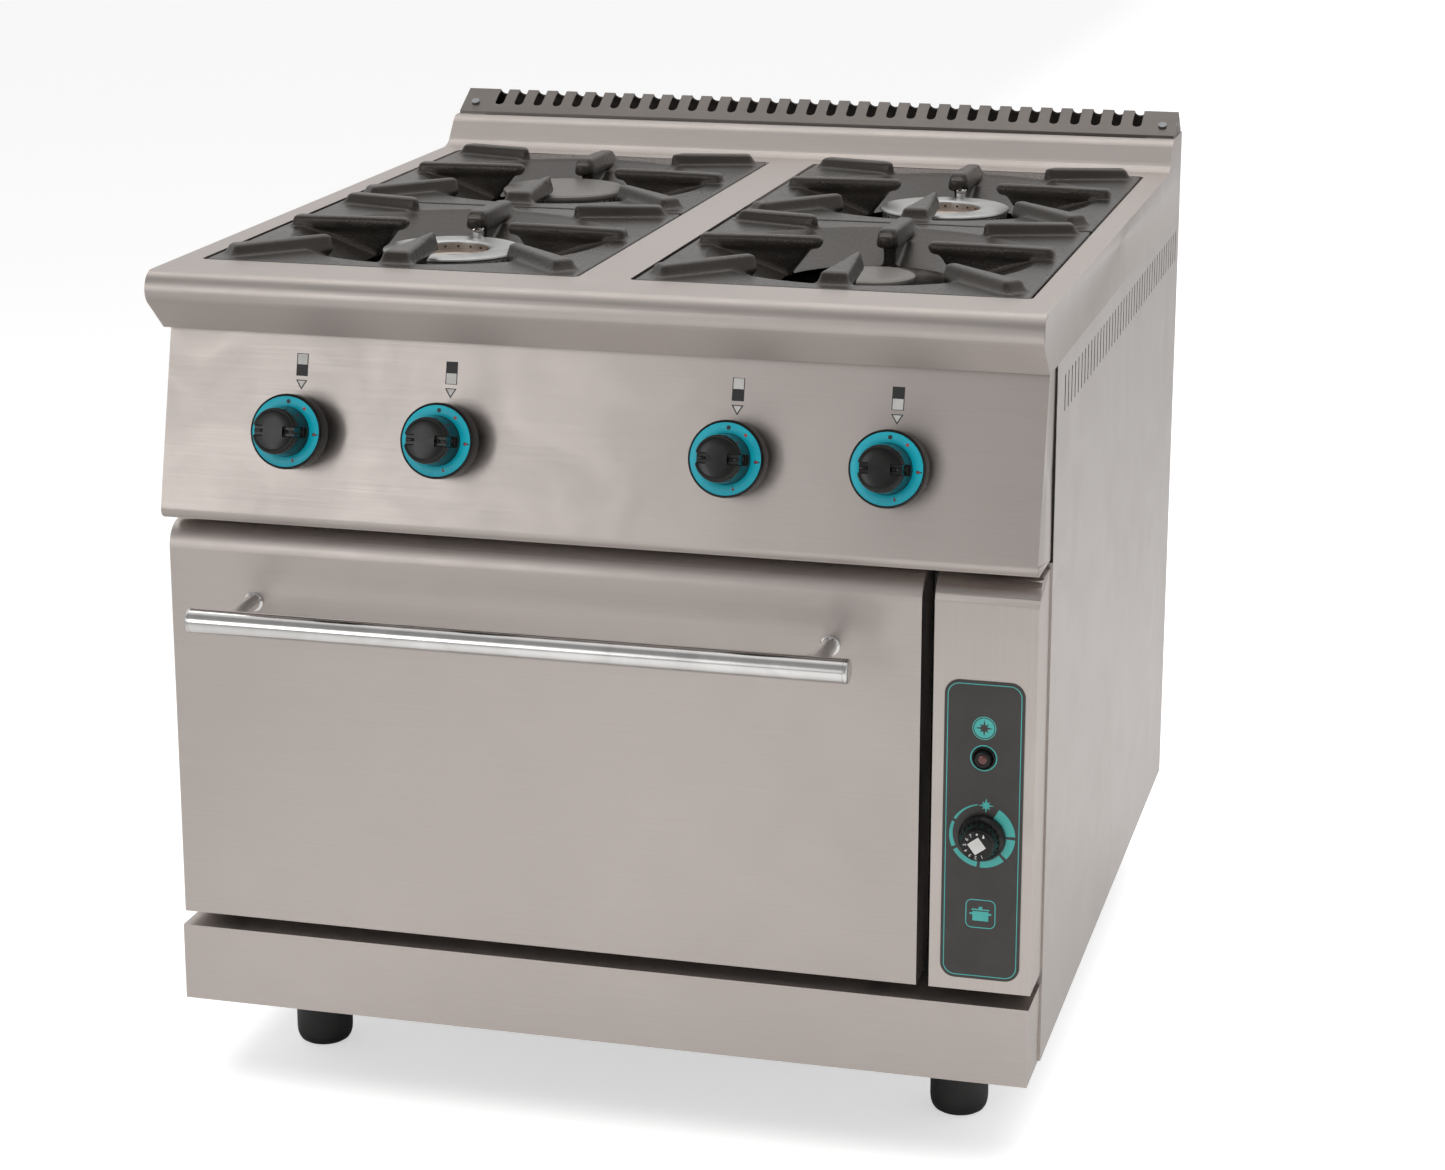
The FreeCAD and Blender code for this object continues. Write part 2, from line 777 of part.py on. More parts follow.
def gas_manifold():
    """The gas rail behind the panel and the supply pipe to the rear inlet."""
    end = "half_width - 50"
    bore = "manifold_radius - manifold_wall"
    rail = cylinder("manifold_radius", "2 * (%s)" % end, "0 - (%s)" % end,
                    "y_manifold", "z_manifold", X)
    pipe = front_rod("manifold_radius", "x_inlet", "z_manifold", "y_inlet_thread", "y_manifold")
    thread = front_rod("inlet_radius", "x_inlet", "z_manifold",
                       "y_inlet_thread + inlet_thread_length", "y_inlet_thread")
    collar = front_rod("manifold_radius + 6", "x_inlet", "z_manifold",
                       "y_inlet_thread", "y_back_panel")
    rail_bore = cylinder(bore, "2 * (%s) - 6" % end, "3 - (%s)" % end,
                         "y_manifold", "z_manifold", X)
    pipe_bore = front_rod(bore, "x_inlet", "z_manifold", "y_back", "y_manifold")
    keep("gas_manifold", cut(fuse(rail, pipe, thread, collar), rail_bore, pipe_bore))


def gas_taps():
    """Four tap bodies between the rail and the panel, bored for the spindles."""
    taps = []
    for x in KNOB_PLACES:
        casing = panel_rod("tap_width / 2", x, "manifold_inset - manifold_radius - 0.2",
                           "sheet + 3")
        bore = panel_rod("spindle_radius + spindle_clearance", x, "tap_depth", "0")
        taps.append(cut(casing, bore, tap_outlet(x)))
    group("gas_taps", taps)


def tap_outlet(x):
    """The upright stretch of pipe that enters a tap from below."""
    return cylinder("injector_radius",
                    "z_knob - pipe_inset * sin(panel_tilt * 1deg) - pipe_low",
                    x, "y_pipe_start", "pipe_low")


def tap_spindle(name, x):
    """The turning stem of one tap, with a flat that drives the knob."""
    stem = panel_rod("spindle_radius", x, "tap_depth - 1", "0 - spindle_reach")
    flat = box(("spindle_radius - 1.5", "spindle_radius + 5"), ("0 - 10", "10"),
               ("0", "12"))
    on_panel(flat, x, "12 - spindle_reach")
    keep(name, cut(stem, flat))


def knob(body, skirt_low, skirt_high, skirt_radius, grip_high, grip_radius, top_radius,
         bar_width, bar_drop, bore_high):
    """A pinch knob about Z: a round skirt and a grip cut down to a bar."""
    profile = new_sketch(body, "XZ_Plane")
    outline(profile, [
        ("0", skirt_low), (skirt_radius, skirt_low), (skirt_radius, skirt_high, "1"),
        (grip_radius, skirt_high), (top_radius, grip_high, "2"), ("0", grip_high)])
    revolve(body, profile)
    flanks = new_sketch(body, "XY_Plane", grip_high)
    half_bar = "(%s) / 2" % bar_width
    reach = "(%s) + 2" % grip_radius
    for low, high in ((half_bar, reach), ("0 - " + reach, "0 - " + half_bar)):
        outline(flanks, rectangle(("0 - (%s)" % reach, reach), (low, high)))
    extrude(body, flanks, bar_drop, "Pocket")
    socket = new_sketch(body, "XY_Plane", skirt_low)
    ring(socket, "spindle_radius + spindle_clearance")
    extrude(body, socket, "(%s) - (%s)" % (bore_high, skirt_low), "Pocket", reverse=True)


def burner_knob(name, x):
    """One burner knob with its marked dial."""
    body = new_body(name)
    dial_face = "knob_stand_off + dial_depth"
    knob(body, "knob_stand_off", dial_face, "dial_radius", dial_face + " + grip_height",
         "grip_radius", "grip_top_radius", "grip_bar_width", "grip_bar_drop",
         "spindle_reach + 6")
    on_panel(body, x)


# ---------------------------------------------------------------- burners

def burner_bodies():
    """Four cast burner cups with their mixing tubes pointing forward."""
    cups = []
    for x, y, radius, drop in BURNERS:
        cup = "%s - 12" % radius
        low = "z_tray - 20"
        high = "worktop_height - %s - crown_thickness" % drop
        outer = cylinder(cup, "%s - (%s)" % (high, low), x, y, low)
        inner = cylinder("%s - cup_wall" % cup, "%s - (%s)" % (high, low), x, y,
                         low + " + cup_wall")
        tube = front_rod("venturi_radius", x, low, y, y + " - venturi_length")
        mouth = front_rod("venturi_radius - cup_wall", x, low, y, y + " - venturi_length")
        cups.append(cut(fuse(outer, tube), inner, mouth))
    group("burner_bodies", cups)


def crown_ports(body, radius, low):
    """Flame ports cut into the underside of a crown's rim."""
    port = outline(new_sketch(body, "XY_Plane", low), rectangle(
        ("%s - 8" % radius, "%s + 2" % radius), ("0 - port_width / 2", "port_width / 2")))
    slot = extrude(body, port, "4", "Pocket", reverse=True)
    repeat_round(body, slot, "port_count")


def burner_ring(name, x, y):
    """An open aluminium flame ring."""
    body = new_body(name)
    profile = outline(new_sketch(body, "XZ_Plane"), [
        ("ring_hole", "0 - crown_thickness"), ("ring_radius", "0 - crown_thickness"),
        ("ring_radius", "0", "2"), ("ring_hole", "0", "1")])
    revolve(body, profile)
    crown_ports(body, "ring_radius", "0 - crown_thickness")
    place(body, x, y, "worktop_height - ring_top_drop")


def burner_cap(name, x, y, radius, drop):
    """A closed flat flame cap."""
    body = new_body(name)
    profile = outline(new_sketch(body, "XZ_Plane"), [
        ("0", "0 - crown_thickness"), (radius + " - 2", "0 - crown_thickness"),
        (radius + " - 2", "0 - crown_thickness / 2"), (radius, "0 - crown_thickness / 2"),
        (radius, "0", "1.5"), ("0", "0")])
    revolve(body, profile)
    crown_ports(body, radius, "0 - crown_thickness")
    place(body, x, y, "worktop_height - " + drop)


def injector_pipes():
    """Four gas pipes, under the rail, from the taps to the mixing tubes."""
    pipes = []
    level = "z_tray - 20"
    for knob_x, (x, y, radius, drop) in zip(KNOB_PLACES, BURNERS):
        turn = "%s - venturi_length - 20" % y
        run = front_rod("injector_radius", knob_x, "pipe_low", turn, "y_pipe_start")
        rise = cylinder("injector_radius", "%s - pipe_low" % level, knob_x, turn, "pipe_low")
        cross = box(("min(%s; %s)" % (knob_x, x), "max(%s; %s)" % (knob_x, x)),
                    (turn + " - 4", turn + " + 4"), (level + " - 4", level + " + 4"))
        nozzle = front_rod("injector_radius + 2", x, level, turn + " + 19", turn)
        pipes.append(fuse(tap_outlet(knob_x), run, rise, cross, nozzle))
    group("injector_pipes", pipes)


def drip_trays():
    """Two pans under the grates, hung from the well rims, holed for the burners."""
    trays = []
    for side in (-1, 1):
        x_low, x_high = well_span(side)
        inner_x = (x_low + " + tray_ledge", x_high + " - tray_ledge")
        inner_y = ("y_well_front + tray_ledge", "y_well_rear - tray_ledge")
        pan = box((inner_x[0] + " - sheet", inner_x[1] + " + sheet"),
                  (inner_y[0] + " - sheet", inner_y[1] + " + sheet"),
                  ("z_tray", "z_ledge"))
        flange = box((x_low + " - tray_flange", x_high + " + tray_flange"),
                     ("y_well_front - tray_flange", "y_well_rear + tray_flange"),
                     ("z_ledge - sheet", "z_ledge"))
        inside = box(inner_x, inner_y, ("z_tray + sheet", "z_ledge + sheet"))
        holes = [cylinder("%s - 11" % radius, "20", x, y, "z_tray - 10")
                 for x, y, radius, drop in BURNERS
                 if value(x) * side > 0]
        trays.append(cut(fuse(pan, flange), inside, *holes))
    group("drip_trays", trays)


# ---------------------------------------------------------------- grates

def grate(name, x, y):
    """One cast-iron pan support: a plate dished to a throat, with raised ribs."""
    body = new_body(name)
    plate = outline(new_sketch(body), rectangle(
        ("0 - grate_half_x", "grate_half_x"), ("0 - grate_half_y", "grate_half_y"),
        "grate_corner_radius - grate_gap"))
    extrude(body, plate, "well_rim", reverse=True)
    dish = outline(new_sketch(body, "XZ_Plane"), [
        ("throat_radius", "0 - bowl_depth"), ("throat_radius + bowl_wall", "0 - bowl_depth"),
        ("bowl_radius + bowl_wall", "0 - well_rim"), ("bowl_radius + bowl_wall", "0"),
        ("throat_radius", "0")])
    revolve(body, dish)
    hollow_cut = outline(new_sketch(body, "XZ_Plane"), [
        ("0", "0 - bowl_depth - 1"), ("throat_radius", "0 - bowl_depth - 1"),
        ("throat_radius", "0 - bowl_depth"), ("bowl_radius", "0"),
        ("bowl_radius", "1"), ("0", "1")])
    revolve(body, hollow_cut, "Groove")
    for corners in SIDE_RIBS + CENTRE_RIBS:
        outline_rib(body, corners)
    web = outline(new_sketch(body, "XZ_Plane", "0 - rib_side_y - web_thickness / 2"), [
        ("rib_tip_radius + 2", "rib_rise - 2"), ("rib_tip_radius + 2", "rib_rise / 3"),
        ("throat_radius + 1", "0 - bowl_depth"), ("bowl_radius + 4", "0 - 1"),
        ("bowl_radius + 4", "rib_rise - 2")])
    side_web = extrude(body, web, "web_thickness")
    mirror(body, [side_web])
    back_web = outline(new_sketch(body, "YZ_Plane", "0 - web_thickness / 2"), [
        ("rib_back_y + 3", "rib_rise - 2"), ("rib_back_y + 3", "0"),
        ("throat_radius + 2", "0 - bowl_depth"), ("bowl_radius + 4", "0 - 1"),
        ("bowl_radius + 4", "rib_rise - 2")])
    extrude(body, back_web, "web_thickness")
    front_web = outline(new_sketch(body, "YZ_Plane", "0 - web_thickness / 2 + 2"), [
        ("0 - rib_front_y - 6", "rib_rise - 2"), ("0 - rib_front_y - 6", "rib_rise / 2"),
        ("0 - throat_radius - 4", "0 - bowl_depth + 4"), ("0 - bowl_radius - 4", "0 - 1"),
        ("0 - bowl_radius - 4", "rib_rise - 2")])
    extrude(body, front_web, "web_thickness - 4")
    place(body, x, y, "worktop_height")


def outline_rib(body, corners):
    """A raised rib with drafted sides, from the plan of its foot."""
    foot = outline(new_sketch(body, "XY_Plane", "0 - well_rim / 2"), corners)
    rib = extrude(body, foot, "rib_rise + well_rim / 2")
    rib.setExpression("TaperAngle", formula("(0 - rib_draft) * 1deg"))


# ---------------------------------------------------------------- door and handle

def front_box(body, x_low, x_high, y_high):
    """A front casing with a rounded top edge, open at the back."""
    section = outline(new_sketch(body, "YZ_Plane", x_low), [
        ("y_door", "z_door_bottom"), ("y_door", "z_door_top", "door_edge_radius"),
        (y_high, "z_door_top"), (y_high, "z_door_bottom")])
    block = extrude(body, section, "(%s) - (%s)" % (x_high, x_low))
    middle = "((%s) + (%s)) / 2" % (x_low, x_high)
    hollow(body, block, [(middle, y_high, "(z_door_bottom + z_door_top) / 2")])
    return body


def hinge_notches():
    """The two openings at the door's lower edge that the hinge arms enter."""
    return [box(("%s - hinge_slot / 2" % x, "%s + hinge_slot / 2" % x),
                ("y_door + sheet", "y_frame"),
                ("z_door_bottom - 1", "z_door_bottom + hinge_slot_height"))
            for x in HINGE_PLACES]


def door_skin():
    """The stainless front of the door."""
    body = DOC.addObject("PartDesign::Body", "DoorSheet")
    front_box(body, "x_door_left", "x_door_right", "y_door + door_depth")
    bolts = [front_rod("post_screw_radius + 0.1", x, "z_handle", "y_door + 5", "y_door - 5")
             for x in POST_PLACES]
    keep("door_skin", cut(body, *hinge_notches(), *bolts))


def door_inner():
    """The inner pan that closes the back of the door."""
    margin = "(sheet + fit_gap)"
    pan = box_body("inner_pan",
                   ("x_door_left + " + margin, "x_door_right - " + margin),
                   ("y_door + door_depth - inner_pan_depth", "y_door + door_depth"),
                   ("z_door_bottom + " + margin, "z_door_top - " + margin),
                   [("x_door", "y_door + door_depth - inner_pan_depth", "z_door_bottom + 100")])
    keep("door_inner", cut(pan, *hinge_notches()))


def door_insulation():
    """The wool slab between the door's skins."""
    slab = box(("x_door_left + 12", "x_door_right - 12"),
               ("y_door + sheet + 3", "y_door + door_depth - sheet - fit_gap"),
               ("z_door_bottom + hinge_slot_height + 6", "z_door_top - door_edge_radius - 4"))
    keep("door_insulation", slab)


def handle():
    """The tubular door handle on its two posts."""
    start = "x_door - handle_length / 2"
    bar = cylinder("handle_diameter / 2", "handle_length", start, "y_handle", "z_handle", X)
    bore = cylinder("handle_diameter / 2 - handle_wall", "handle_length - 2 * cap_length",
                    start + " + cap_length", "y_handle", "z_handle", X)
    seats = [front_rod("post_diameter / 2", x, "z_handle", "y_door", "y_handle")
             for x in POST_PLACES]
    keep("handle_bar", cut(bar, bore, *seats))
    posts = []
    for x in POST_PLACES:
        post = front_rod("post_diameter / 2", x, "z_handle", "y_door", "y_handle")
        stud = front_rod("post_screw_radius", x, "z_handle", "y_door + sheet + 2", "y_door - 5")
        posts.append(fuse(post, stud))
    group("handle_posts", posts)


def hinges():
    """Fixed hinge arms, the cheeks in the door and the pins that join them."""
    arms, cheeks, pins = [], [], []
    hole = "hinge_pin_radius + hinge_clearance"
    reach = "(hinge_slot / 2 + cheek)"
    for x in HINGE_PLACES:
        eye = cylinder("hinge_boss_radius", "hinge_arm", x + " - hinge_arm / 2",
                       "y_hinge", "z_hinge", X)
        arm = box(("%s - hinge_arm / 2" % x, "%s + hinge_arm / 2" % x),
                  ("y_hinge", "y_frame"),
                  ("z_hinge - hinge_boss_radius", "z_hinge + hinge_boss_radius"))
        bore = cylinder(hole, "hinge_arm + 2", x + " - hinge_arm / 2 - 1",
                        "y_hinge", "z_hinge", X)
        arms.append(cut(fuse(eye, arm), bore))
        for low in ("%s - %s" % (x, reach), "%s + hinge_slot / 2" % x):
            plate = box((low, low + " + cheek"),
                        ("y_door + sheet", "y_door + door_depth - inner_pan_depth - 1"),
                        ("z_door_bottom + sheet", "z_door_bottom + hinge_slot_height"))
            drill = cylinder("hinge_pin_radius", "cheek + 2", low + " - 1",
                             "y_hinge", "z_hinge", X)
            cheeks.append(cut(plate, drill))
        pins.append(cylinder("hinge_pin_radius", "2 * " + reach,
                             "%s - %s" % (x, reach), "y_hinge", "z_hinge", X))
    group("hinge_arms", arms)
    group("hinge_cheeks", cheeks)
    group("hinge_pins", pins)


# ---------------------------------------------------------------- oven

def oven_liner():
    """The oven muffle with its front frame and the flue outlet."""
    shell = box(("x_oven_left - sheet", "x_oven_right + sheet"),
                ("y_frame", "y_oven_back + sheet"),
                ("oven_floor_height - sheet", "z_oven_top + sheet"))
    face = box(("flange_width - half_width + fit_gap", "x_column_left - fit_gap"),
               ("y_frame", "y_frame + sheet"), ("z_plinth_top - 20", "z_panel_bottom - 2"))
    inside = box(("x_oven_left", "x_oven_right"), ("y_frame - 5", "y_oven_back"),
                 ("oven_floor_height", "z_oven_top"))
    outlet = box(("x_door - duct_width / 2 + sheet", "x_door + duct_width / 2 - sheet"),
                 ("y_oven_back - 1", "y_oven_back + sheet + 1"),
                 ("z_oven_top - duct_leg_height + sheet", "z_oven_top - sheet"))
    keep("oven_liner", cut(fuse(shell, face), inside, outlet))


def oven_insulation():
    """Wool over the top, sides and back of the muffle."""
    wool = box(("x_oven_left - sheet - insulation", "x_oven_right + sheet + insulation"),
               ("y_frame + sheet + fit_gap", "y_oven_back + sheet + insulation"),
               ("oven_floor_height - sheet", "z_oven_top + sheet + insulation"))
    muffle = box(("x_oven_left - sheet - fit_gap", "x_oven_right + sheet + fit_gap"),
                 ("y_frame", "y_oven_back + sheet + fit_gap"),
                 ("oven_floor_height - sheet - 1", "z_oven_top + sheet + fit_gap"))
    leg = box(("x_door - duct_width / 2 - fit_gap", "x_door + duct_width / 2 + fit_gap"),
              ("y_oven_back", "y_oven_back + sheet + insulation + 1"),
              ("z_oven_top - duct_leg_height - fit_gap", "z_oven_top + fit_gap"))
    keep("oven_insulation", cut(wool, muffle, leg))


def oven_sole():
    """The heavy floor plate that stands over the burner on its own edges."""
    box_part("oven_sole", ("x_oven_left + 3", "x_oven_right - 3"),
             ("y_frame + 12", "y_oven_back - 6"),
             ("oven_floor_height", "oven_floor_height + sole_gap + sole_thickness"),
             [("x_door", "y_frame + 100", "oven_floor_height")], wall="sole_thickness")


def rack_runners():
    """Two ladder frames that carry the rack at three heights."""
    low = "oven_floor_height + sole_gap + sole_thickness + 4"
    sides = []
    for wall, inward in (("x_oven_left", 1), ("x_oven_right", -1)):
        post_x = "%s + %d * (runner_radius + 0.5)" % (wall, inward)
        rail_x = "%s + %d * runner_offset" % (wall, inward)
        rods = [cylinder("runner_radius", "z_oven_top - 8 - (%s)" % low, post_x, y, low)
                for y in ("y_frame + 40", "y_oven_back - 30")]
        for level in ("0 - rack_pitch", "0", "rack_pitch"):
            height = "rack_height - rack_radius - runner_radius - 0.3 + " + level
            rods.append(front_rod("runner_radius", rail_x, height,
                                  "y_oven_back - 26", "y_frame + 36"))
            for y in ("y_frame + 40", "y_oven_back - 30"):
                rods.append(cylinder("runner_radius - 1", "runner_offset - 4",
                                     "min(%s; %s)" % (post_x, rail_x), y, height, X))
        sides.append(fuse(*rods))
    group("rack_runners", sides)


def oven_rack():
    """The welded wire shelf."""
    half = "(oven_width / 2 - runner_offset)"
    front = "(y_frame + rack_front_gap)"
    back = "(y_oven_back - rack_rear_gap)"
    rods = [front_rod("rack_radius", "x_door + %d * %s" % (side, half), "rack_height",
                      back, front) for side in (-1, 1)]
    for y in (front, "(%s + %s) / 2" % (front, back), back):
        rods.append(cylinder("rack_radius", "2 * " + half, "x_door - " + half, y,
                             "rack_height", X))
    count = int(value("rack_wires"))
    for number in range(count):
        x = "x_door - %s + 2 * %s * %d / %d" % (half, half, number + 1, count + 1)
        rods.append(front_rod("rack_wire_radius", x, "rack_height", back, front))
    keep("oven_rack", fuse(*rods))


def oven_burner():
    """The tubular burner under the oven floor, fed from the valve side."""
    tubes = [front_rod("oven_burner_radius", "x_door + %d * oven_width / 5" % side,
                       "oven_burner_height", "y_oven_back - 80", "y_frame + 60")
             for side in (-1, 1)]
    feed = cylinder("oven_burner_radius", "x_column_left + 20 - (x_door - oven_width / 5)",
                    "x_door - oven_width / 5", "y_frame + 60", "oven_burner_height", X)
    keep("oven_burner", fuse(*tubes, feed))


def door_gasket():
    """The seal round the oven mouth."""
    outer, inner = [box(("x_oven_left - " + reach, "x_oven_right + " + reach),
                        ("y_frame - gasket_section", "y_frame"),
                        ("oven_floor_height - " + reach, "z_oven_top + " + reach))
                    for reach in ("(gasket_margin + gasket_width)", "gasket_margin")]
    keep("door_gasket", cut(outer, inner))


# ---------------------------------------------------------------- oven controls

def control_column():
    """The casing right of the door that holds the oven controls."""
    body = DOC.addObject("PartDesign::Body", "ColumnSheet")
    front_box(body, "x_column_left", "x_column_right", "y_frame")
    holes = [front_rod(radius, "x_column", z, "y_door + 10", "y_door - 10")
             for radius, z in (("panel_hole_radius", "oven_knob_height"),
                               ("igniter_radius + 2.5", "igniter_height"))]
    keep("control_column", cut(body, *holes))


def column_overlay():
    """The thin printed plate on the column, holed for knob and button."""
    body = new_body("column_overlay")
    sketch = new_sketch(body, "XZ_Plane", "0 - y_door")
    outline(sketch, rectangle(("x_column - overlay_width / 2", "x_column + overlay_width / 2"),
                              ("overlay_bottom", "z_overlay_top"), "overlay_radius"))
    ring(sketch, "panel_hole_radius", "x_column", "oven_knob_height")
    ring(sketch, "igniter_radius + 2.5", "x_column", "igniter_height")
    extrude(body, sketch, "overlay_thickness")


def oven_valve():
    """The oven's gas thermostat, its stem and its knob."""
    casing = front_rod("tap_width / 2", "x_column", "oven_knob_height",
                       "y_door + sheet + 3 + tap_depth", "y_door + sheet + 3")
    bore = front_rod("spindle_radius + spindle_clearance", "x_column", "oven_knob_height",
                     "y_door + tap_depth", "y_door")
    keep("oven_valve", cut(casing, bore))
    stem = front_rod("spindle_radius", "x_column", "oven_knob_height",
                     "y_door + tap_depth - 1", "y_overlay - oven_knob_depth + 8")
    flat = box(("x_column + spindle_radius - 1.5", "x_column + spindle_radius + 5"),
               ("y_overlay - oven_knob_depth", "y_overlay - oven_knob_depth + 20"),
               ("oven_knob_height - 10", "oven_knob_height + 10"))
    keep("oven_spindle", cut(stem, flat))
    body = new_body("oven_knob")
    knob(body, "oven_knob_gap", "oven_knob_skirt", "oven_knob_radius", "oven_knob_depth",
         "oven_knob_radius - 2", "oven_knob_radius - 4", "oven_grip_width",
         "oven_knob_depth - oven_knob_skirt - 3", "oven_knob_depth - 3")
    on_front(body, "x_column", "y_overlay", "oven_knob_height")


def igniter():
    """The spark igniter: a housing through the column and its push button."""
    tube = front_rod("igniter_radius + 2", "x_column", "igniter_height",
                     "y_overlay + igniter_depth", "y_overlay - 2")
    rim = front_rod("igniter_flange_radius", "x_column", "igniter_height",
                    "y_overlay", "y_overlay - 2")
    bore = front_rod("igniter_radius + spindle_clearance", "x_column", "igniter_height",
                     "y_overlay + igniter_depth - 3", "y_overlay - 5")
    keep("igniter_housing", cut(fuse(tube, rim), bore))
    button = front_rod("igniter_radius", "x_column", "igniter_height",
                       "y_overlay + igniter_depth - 12", "y_overlay - igniter_rise")
    keep("igniter_button", button)


# ---------------------------------------------------------------- feet

def feet():
    """Four fixed sleeves, and in each a foot on a threaded stud."""
    sleeves = []
    top = "base_height"
    low = "base_height - sleeve_height"
    for (x, y), name in zip(FOOT_PLACES, FOOT_NAMES):
        outer = cylinder("sleeve_radius", "sleeve_height", x, y, low)
        inner = cylinder("foot_radius + 0.4", "sleeve_height - 4", x, y, low)
        nut = cylinder("stud_radius + spindle_clearance", "sleeve_height + 2", x, y, low)
        sleeves.append(cut(outer, inner, nut))
        toe = cone("foot_toe_radius", "foot_radius", "foot_taper", x, y, "0")
        barrel = cylinder("foot_radius", "%s - 5 - foot_taper" % top, x, y, "foot_taper")
        stud = cylinder("stud_radius", "foot_travel + 5", x, y, top + " - 5")
        keep(name, fuse(toe, barrel, stud))
    group("foot_sleeves", sleeves)


# ---------------------------------------------------------------- the range

KNOB_PLACES = ("0 - knob_outer_x", "0 - knob_inner_x", "knob_inner_x", "knob_outer_x")
BURNERS = (
    ("0 - x_grate", "y_grate_front", "ring_radius", "ring_top_drop"),
    ("0 - x_grate", "y_grate_rear", "cap_large_radius", "cap_large_drop"),
    ("x_grate", "y_grate_front", "cap_small_radius", "cap_small_drop"),
    ("x_grate", "y_grate_rear", "ring_radius", "ring_top_drop"),
)
BURNER_NAMES = ("front_left", "rear_left", "front_right", "rear_right")
FOOT_PLACES = [(x, y) for y in ("y_nose + foot_front_margin", "y_back - foot_rear_margin")
               for x in ("foot_x_margin - half_width", "half_width - foot_x_margin")]
FOOT_NAMES = ("foot_front_left", "foot_front_right", "foot_rear_left", "foot_rear_right")
HINGE_PLACES = ("x_door_left + hinge_inset", "x_door_right - hinge_inset")
POST_PLACES = ("x_door - post_spacing / 2", "x_door + post_spacing / 2")


def strip(start, end, foot="rib_width"):
    """The plan of a rib's foot between two places, square to its length."""
    (x_1, y_1), (x_2, y_2) = start, end
    run_x = "((%s) - (%s))" % (x_2, x_1)
    run_y = "((%s) - (%s))" % (y_2, y_1)
    length = "sqrt(%s * %s + %s * %s)" % (run_x, run_x, run_y, run_y)
    step_x = "%s * (%s) / 2 / %s" % (run_y, foot, length)
    step_y = "%s * (%s) / 2 / %s" % (run_x, foot, length)
    return [("(%s) + %s" % (x_1, step_x), "(%s) - %s" % (y_1, step_y), "4"),
            ("(%s) + %s" % (x_2, step_x), "(%s) - %s" % (y_2, step_y), "4"),
            ("(%s) - %s" % (x_2, step_x), "(%s) + %s" % (y_2, step_y), "4"),
            ("(%s) - %s" % (x_1, step_x), "(%s) + %s" % (y_1, step_y), "4")]


def both_sides(start, end):
    """A rib's plan on the right of the grate and its twin on the left."""
    (x_1, y_1), (x_2, y_2) = start, end
    return [strip(start, end),
            strip(("0 - (%s)" % x_1, y_1), ("0 - (%s)" % x_2, y_2))]


SIDE_RIBS = (
    both_sides(("grate_half_x - rib_root", "rib_side_y"), ("rib_tip_radius - 2", "rib_side_y"))
    + both_sides(("grate_half_x - corner_rib_inset", "corner_rib_margin - grate_half_y"),
                 ("corner_rib_x", "0 - corner_rib_y"))
    + both_sides(("grate_half_x - rear_rib_inset", "grate_half_y - rear_rib_margin"),
                 ("rear_rib_x", "grate_half_y - rear_rib_drop")))
CENTRE_RIBS = [
    strip(("0", "rib_root - grate_half_y"), ("0", "0 - rib_front_y"), "front_rib_width"),
    strip(("0", "grate_half_y - rib_root"), ("0", "rib_back_y"), "rear_finger_width")]


def build():
    """Make every sub-part."""
    fill_sheet()
    base_frame()
    plinth()
    for side, name in ((-1, "left"), (1, "right")):
        side_panel("side_panel_%s_lower" % name, side, "base_height", "side_seam_height")
        side_panel("side_panel_%s_upper" % name, side, "side_seam_height", "z_seam", True)
    back_panel()
    worktop()
    flue_cover()
    flue_screws()
    flue_duct()
    control_panel()
    gas_manifold()
    gas_taps()
    for number, x in enumerate(KNOB_PLACES, start=1):
        tap_spindle("tap_spindle_%d" % number, x)
        burner_knob("burner_knob_%d" % number, x)
    burner_bodies()
    for (x, y, radius, drop), name in zip(BURNERS, BURNER_NAMES):
        grate("grate_" + name, x, y)
        if radius == "ring_radius":
            burner_ring("burner_ring_" + name, x, y)
        else:
            burner_cap("burner_cap_" + name, x, y, radius, drop)
    injector_pipes()
    drip_trays()
    door_skin()
    door_inner()
    door_insulation()
    handle()
    hinges()
    oven_liner()
    oven_insulation()
    oven_sole()
    rack_runners()
    oven_rack()
    oven_burner()
    door_gasket()
    control_column()
    column_overlay()
    oven_valve()
    igniter()
    feet()


def check():
    """Stop if any object of the document failed or any sub-part is unsound."""
    DOC.recompute()
    for item in DOC.Objects:
        if "Invalid" in item.State or "Error" in item.State:
            raise RuntimeError("%s (%s) failed: %s" % (item.Name, item.Label, item.State))
    for name, item in PARTS.items():
        if item.Shape.isNull() or not item.Shape.isValid():
            raise RuntimeError(name + " is not a sound shape")


def export():
    """Write one STEP file for each sub-part."""
    os.makedirs("parts", exist_ok=True)
    for name, item in PARTS.items():
        item.Shape.exportStep(os.path.join("parts", name + ".step"))


build()
check()
export()
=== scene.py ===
"""Looks for a commercial gas range: four open burners over a drop-door oven.

Metres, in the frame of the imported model. X runs to the right seen from the front,
Y to the back, +Z up, and the floor is at Z 0.
"""
import json
import math

import bpy
from mathutils import Matrix, Vector


